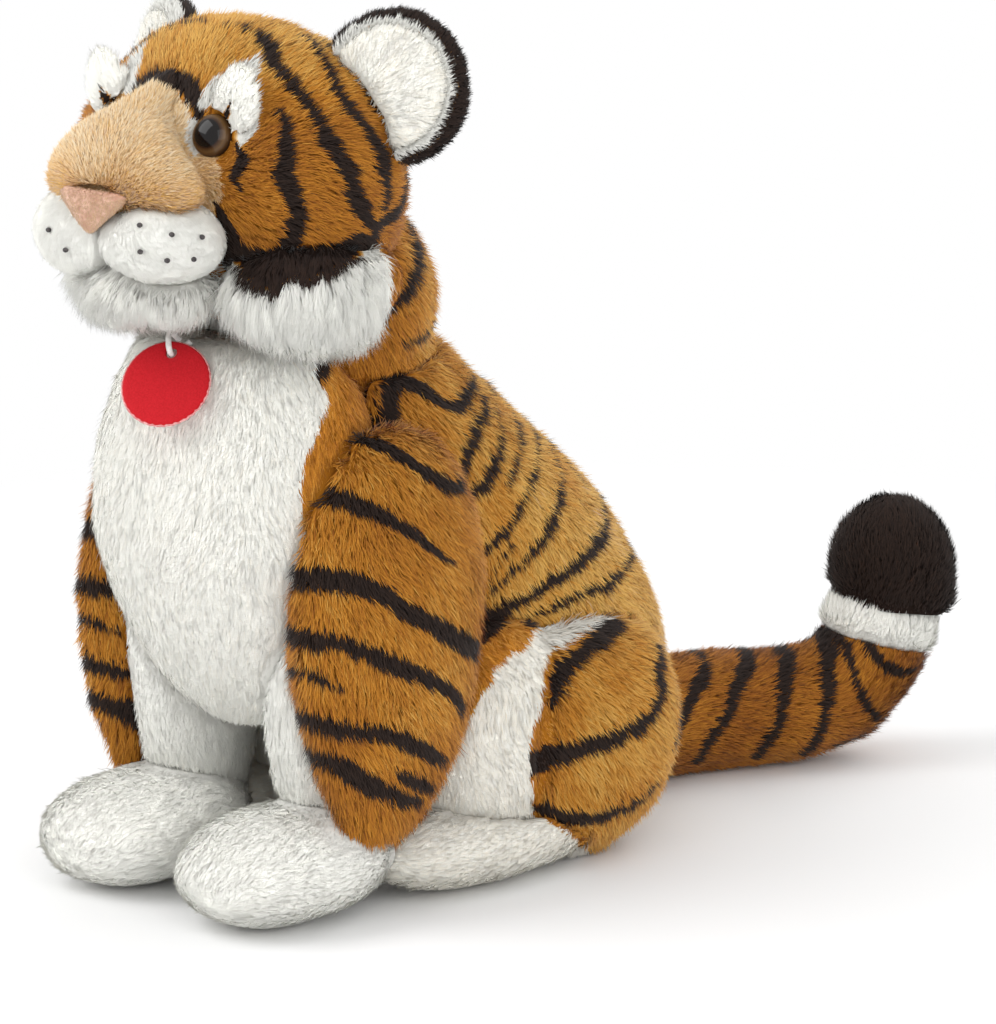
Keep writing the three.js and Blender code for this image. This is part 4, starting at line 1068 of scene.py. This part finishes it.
# Tag and its cord
TAG_TURN, TAG_LEAN = math.radians(30), math.radians(34)
SEAM_POINT = np.array([8.0, -196.89, 229.0])
TAG_ACROSS = np.array([math.cos(TAG_TURN), math.sin(TAG_TURN), 0.0])
TAG_BACK = np.array([-math.sin(TAG_TURN), math.cos(TAG_TURN), 0.0])
TAG_UP = TAG_BACK * math.sin(TAG_LEAN) + UP * math.cos(TAG_LEAN)
TAG_OUT = np.cross(TAG_ACROSS, TAG_UP)
HOLE_POINT = SEAM_POINT + np.array([0.0, -7.0, -4.0])


def loop_point(across, out, up):
    return HOLE_POINT + across * TAG_ACROSS + out * TAG_OUT + up * TAG_UP


loop_path = smooth_path([
    SEAM_POINT - 2.0 * TAG_ACROSS,
    loop_point(-1.9, -0.6, 9.0), loop_point(-1.4, 3.4, 6.0), loop_point(-0.3, 3.3, 0.8),
    loop_point(0, 0, -0.4), loop_point(0, -3.2, 0.8), loop_point(1.5, -4.8, 3.9),
    SEAM_POINT + 2.2 * TAG_ACROSS,
], 8)
CORD_RADIUS = 1.15
cord_loop = swept("tag_cord", loop_path, CORD_RADIUS)

# Floor and light
LIGHTS = [  # name, place in m, size in m, watts
    ("key", (-0.9, -1.5, 1.7), 1.6, 24.0),
    ("fill", (1.9, -1.0, 1.1), 1.8, 14.0),
    ("back", (0.2, 1.7, 1.5), 1.5, 10.0),
]
WORLD_LEVEL = 0.8


def lights():
    for name, spot, size, watts in LIGHTS:
        lamp = bpy.data.lights.new(name, "AREA")
        lamp.energy, lamp.size = watts, size
        made = shown(name, lamp)
        made.location = spot
        made.rotation_euler = (Vector((0, -0.05, 0.15)) - Vector(spot)).to_track_quat("-Z", "Y").to_euler()


def plain_rays(tree):
    """A node that gives 1 for camera, gloss and transmission rays, and 0 for the others."""
    path, seen, plain_one = add(tree, "LightPath"), operation(tree, "MAXIMUM"), operation(tree, "MAXIMUM")
    join(path, "Is Camera Ray", seen, 0)
    join(path, "Is Glossy Ray", seen, 1)
    join(seen, 0, plain_one, 0)
    join(path, "Is Transmission Ray", plain_one, 1)
    return plain_one


def world():
    """An even pale sky, plain white to the camera and in gloss."""
    made = bpy.data.worlds.new("studio")
    bpy.context.scene.world = made
    made.use_nodes = True
    sky = made.node_tree.nodes["Background"]
    sky.inputs["Color"].default_value = (1, 1, 1, 1)
    level = add(made.node_tree, "Mix", A=WORLD_LEVEL, B=1.0)
    join(plain_rays(made.node_tree), 0, level, "Factor")
    join(level, "Result", sky, "Strength")


def floor():
    """A wide round floor of pale paper: far from the toy it is plain white to the camera."""
    radii, sides = np.array([400.0, 900.0, 2000.0, 6000.0]), 48
    a = whole_turn(sides)
    circle = np.stack([np.cos(a), np.sin(a), np.zeros(sides)], axis=1)
    rings = radii[:, None, None] * circle
    points = np.concatenate([rings.reshape(-1, 3), [[0, 0, 0]]])
    middle = end_fans(len(radii), sides, flip=True)[:sides]
    made = mesh_object("floor", points, [ring_walls(len(radii), sides, flip=True), middle])
    paper, tree, shader = material("white paper", 0.9, Specular_IOR_Level=0.05)
    place, grain = add(tree, "TexCoord"), add(tree, "TexNoise", Scale=3.0)
    row = colour_row(tree, [(0.0, (0.93, 0.93, 0.93, 1)), (1.0, (0.95, 0.95, 0.95, 1))])
    join(place, "Object", grain, "Vector")
    join(grain, 0, row, "Fac")
    join(row, "Color", shader, "Base Color")
    away, both = operation(tree, "LENGTH", "VectorMath"), operation(tree, "MULTIPLY")
    reach = add(tree, "MapRange", From_Min=0.3, From_Max=0.75)
    white, mixed = add(tree, "Emission"), add(tree, "MixShader")
    join(place, "Object", away, 0)
    join(away, "Value", reach, "Value")
    join(reach, "Result", both, 0)
    join(plain_rays(tree), 0, both, 1)
    join(both, 0, mixed, "Fac")
    join(shader, "BSDF", mixed, 1)
    join(white, "Emission", mixed, 2)
    join(mixed, "Shader", tree.nodes["Material Output"], "Surface")
    made.data.materials.append(paper)


lights()
world()
floor()
bpy.context.scene.view_settings.view_transform = "Standard"

# Finishes
pile_colour, nap = pile_colour_group(), nap_group()
PILES = {
    "striped_fur": pile_material("striped pile", pile_colour, 0.12),
    "white_fur": pile_material("white pile", pile_colour, 0.1, Subsurface_Weight=0.6, Subsurface_Scale=0.004,
                               Subsurface_Radius=(1.0, 1.0, 1.0)),
    "black_fur": pile_material("black pile", pile_colour, 0.06),
    "tan_plush": pile_material("tan pile", pile_colour, 0.12),
    "nose_plush": pile_material("nose pile", pile_colour, 0.12),
}
backing = backing_material("pile backing", pile_colour, nap)
nose_cloth = speckled("nose suede", nap, (196, 148, 126), (224, 184, 162), 260, 0.7, 0.0003,
                      Specular_IOR_Level=0.25, Sheen_Weight=0.3)
red_felt = speckled("red felt", nap, (184, 16, 27), (196, 22, 34), 1400, 0.8, 0.0003,
                    Specular_IOR_Level=0.2, Sheen_Weight=0.1)
edge_thread = speckled("edge thread", nap, (206, 120, 120), (232, 170, 168), 900, 0.7, 0.0003)
white_cord = speckled("white cord", nap, (226, 224, 220), (246, 245, 242), 800, 0.7, 0.0003)
dark_thread = speckled("dark thread", nap, (52, 48, 48), (84, 78, 78), 900, 0.7, 0.0002)
washer_plastic = speckled("washer plastic", nap, (196, 194, 188), (216, 214, 208), 60, 0.4, 0.0001)
amber_eye = eye_material()

# Soft pieces
for node in sorted(frame["nodes"]):
    side = -1.0 if node.endswith("_right") else 1.0
    kind = node.removesuffix("_left").removesuffix("_right")
    if kind not in COATS:
        continue
    slot, inset, _, _, _, _, tone_at, _ = COATS[kind]
    body = frame["nodes"][node]["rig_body"]
    skin, points, normals, clear = nose_skin() if kind == "nose" else skin_of(node, kind, inset)
    tone = np.clip(tone_at(points, normals), 0, 1)
    skin.data.attributes.new("tone", "FLOAT", "POINT").data.foreach_set("value", tone.astype(np.float32))
    skin.data.materials.clear()
    skin.data.materials.append(nose_cloth if kind == "nose" else backing)
    skin.data.shade_smooth()
    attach(skin, body)
    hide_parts(node)
    faces = triangles_of(skin.data)
    near = spread_wide(clear, faces, 3 if kind not in FINE else 2)
    halves = [("", faces)]
    if kind in ("torso_back", "head"):
        west = points[faces].mean(1)[:, 0] < 0
        halves = [("_right", faces[west]), ("_left", faces[~west])]
    for number, (ending, part) in enumerate(halves):
        chance = np.random.default_rng([SEED, sum(map(ord, node)), number])
        name = f"{node}{ending}_fur"
        fur = blades(name, points, normals, clear, near, part, COATS[kind], kind, side, chance)
        fur.data.materials.append(PILES[slot])
        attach(fur, body)

# Eyes
EYE_RADIUS, EYE_BULGE, EYE_EDGE = 8.5, 6.0, 1.2
SHANK_RADIUS, SHANK_LENGTH = 2.0, 15.0


def eye_axis(node):
    """The eye's seat and outward way: its shank's far end is the part furthest from its centroid."""
    points = points_of(CAD_MESHES[node])
    middle = points.mean(0)
    away = np.linalg.norm(points - middle, axis=1)
    end = points[away > away.max() - 0.4].mean(0)
    way = unit(middle - end)
    return end + SHANK_LENGTH * way, way


for side_name in ("left", "right"):
    seat, way = eye_axis(f"eye_{side_name}")
    rises = np.linspace(0, np.pi / 2, 18)[:-1]
    shank = [(SHANK_RADIUS, -SHANK_LENGTH), (SHANK_RADIUS, -0.6)]
    profile = shank + [(EYE_RADIUS - 1.0, 0.0), (EYE_RADIUS, 0.5)]
    profile += [(EYE_RADIUS * np.cos(x), EYE_EDGE + EYE_BULGE * np.sin(x)) for x in rises]
    points, faces = turned(profile, seat, way, 48)
    points[-1] = seat + (EYE_EDGE + EYE_BULGE) * way
    eye = mesh_object(f"eye_{side_name}_glass", points, faces)
    out = np.linalg.norm(np.cross(points - seat, way), axis=1) / EYE_RADIUS
    eye.data.attributes.new("out", "FLOAT", "POINT").data.foreach_set("value", out.astype(np.float32))
    eye.data.materials.append(amber_eye)
    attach(eye, "head")
    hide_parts(f"eye_{side_name}")
    washer = frame["nodes"][f"eye_washer_{side_name}"]
    washer.data.materials.clear()
    washer.data.materials.append(washer_plastic)

# Stitched dots on the pads
DOTS = {  # degrees, as for the head's stripes
    1: [(19, -8), (28, -10), (35, -12), (20, -14), (27, -16), (33, -17)],
    -1: [(16, -12), (11, -17), (34, -12), (40, -14), (34, -18), (28, -21)],
}


def knot():
    """A small round knot, 1.3 by 1 by 1 mm from its middle: the unit ball on a grid of 6 rings of 8."""
    a, h = np.meshgrid(whole_turn(8), np.linspace(-1.2, 1.2, 6))
    ball = np.stack([np.cos(h) * np.cos(a), np.cos(h) * np.sin(a), np.sin(h)], axis=2).reshape(-1, 3)
    caps = np.array([np.arange(7, -1, -1), np.arange(40, 48)])
    return ball * (1.3, 1.0, 1.0), ring_walls(6, 8), caps


for side_name, side in (("left", 1), ("right", -1)):
    skin = bpy.data.objects[f"whisker_pad_{side_name}_plush"]
    tree = BVHTree.FromPolygons(points_of(skin.data).tolist(), triangles_of(skin.data).tolist())
    ball, walls, caps = knot()
    places = []
    for turn, height in DOTS[side]:
        t, h = math.radians(turn), math.radians(height)
        way = Vector((side * math.sin(t) * math.cos(h), -math.cos(t) * math.cos(h), math.sin(h)))
        spot, normal, _, _ = tree.ray_cast(Vector(HEAD_MIDDLE) + way * 150, -way)
        if spot is not None:
            places.append(np.array(spot) + 0.9 * np.array(normal))
    faces = [np.concatenate([rows + n * len(ball) for n in range(len(places))]) for rows in (walls, caps)]
    dots = mesh_object(f"whisker_stitches_{side_name}", np.concatenate([ball + p for p in places]), faces)
    dots.data.materials.append(dark_thread)
    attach(dots, "head")

# Tag pieces
TAG_RADIUS, TAG_HALF, HOLE_RADIUS, HOLE_INSET = 17.5, 1.2, 2.2, 4.6
TAG_MIDDLE = HOLE_POINT + (HOLE_INSET - TAG_RADIUS) * TAG_UP


def felt_disc():
    """A round felt disc with a soft edge and a hole: rings that open out from the hole's circle to the rim's.

    Each ring lies at a share of the way from the hole to the rim, and at a share of half the thickness.
    """
    sides = 64
    a = whole_turn(sides)
    hole = np.stack([HOLE_RADIUS * np.cos(a), TAG_RADIUS - HOLE_INSET + HOLE_RADIUS * np.sin(a)], axis=1)
    rim = np.stack([TAG_RADIUS * np.cos(a), TAG_RADIUS * np.sin(a)], axis=1)
    shares = np.array([0.0, 0.03, 0.12, 0.3, 0.5, 0.7, 0.86, 0.93, 0.97, 1.0])
    heights = TAG_HALF * np.array([0.55, 0.9, 1.0, 1.0, 1.0, 1.0, 1.0, 0.92, 0.72, 0.3])
    flat = hole[None] + shares[:, None, None] * (rim - hole)[None]
    front = np.concatenate([flat, np.broadcast_to(heights[:, None, None], (*flat.shape[:2], 1))], axis=2)
    loop = np.concatenate([front, (front * (1, 1, -1))[::-1]])
    points = TAG_MIDDLE + loop[..., :1] * TAG_ACROSS + loop[..., 1:2] * TAG_UP + loop[..., 2:] * TAG_OUT
    walls = ring_walls(len(loop), sides, closed=True, flip=True)
    return mesh_object("tag_felt", points.reshape(-1, 3), [walls])


tag = felt_disc()
tag.data.materials.append(red_felt)
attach(tag, "tag")
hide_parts("tag_disc")

STITCH_WAVES, STITCH_SWING, STITCH_RADIUS = 36, 0.35, 0.45
a = np.linspace(0, 2 * np.pi, 97)
rim_path = TAG_MIDDLE + (TAG_RADIUS + 0.1) * (np.cos(a)[:, None] * TAG_ACROSS + np.sin(a)[:, None] * TAG_UP)
rim_path += (STITCH_SWING * np.sin(STITCH_WAVES * a))[:, None] * TAG_OUT
rim = swept("tag_edge_stitch", rim_path, STITCH_RADIUS, 8)
rim.data.materials.append(edge_thread)
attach(rim, "tag")

cord_loop.data.materials.append(white_cord)
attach(cord_loop, "tag")
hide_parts("tag_loop")
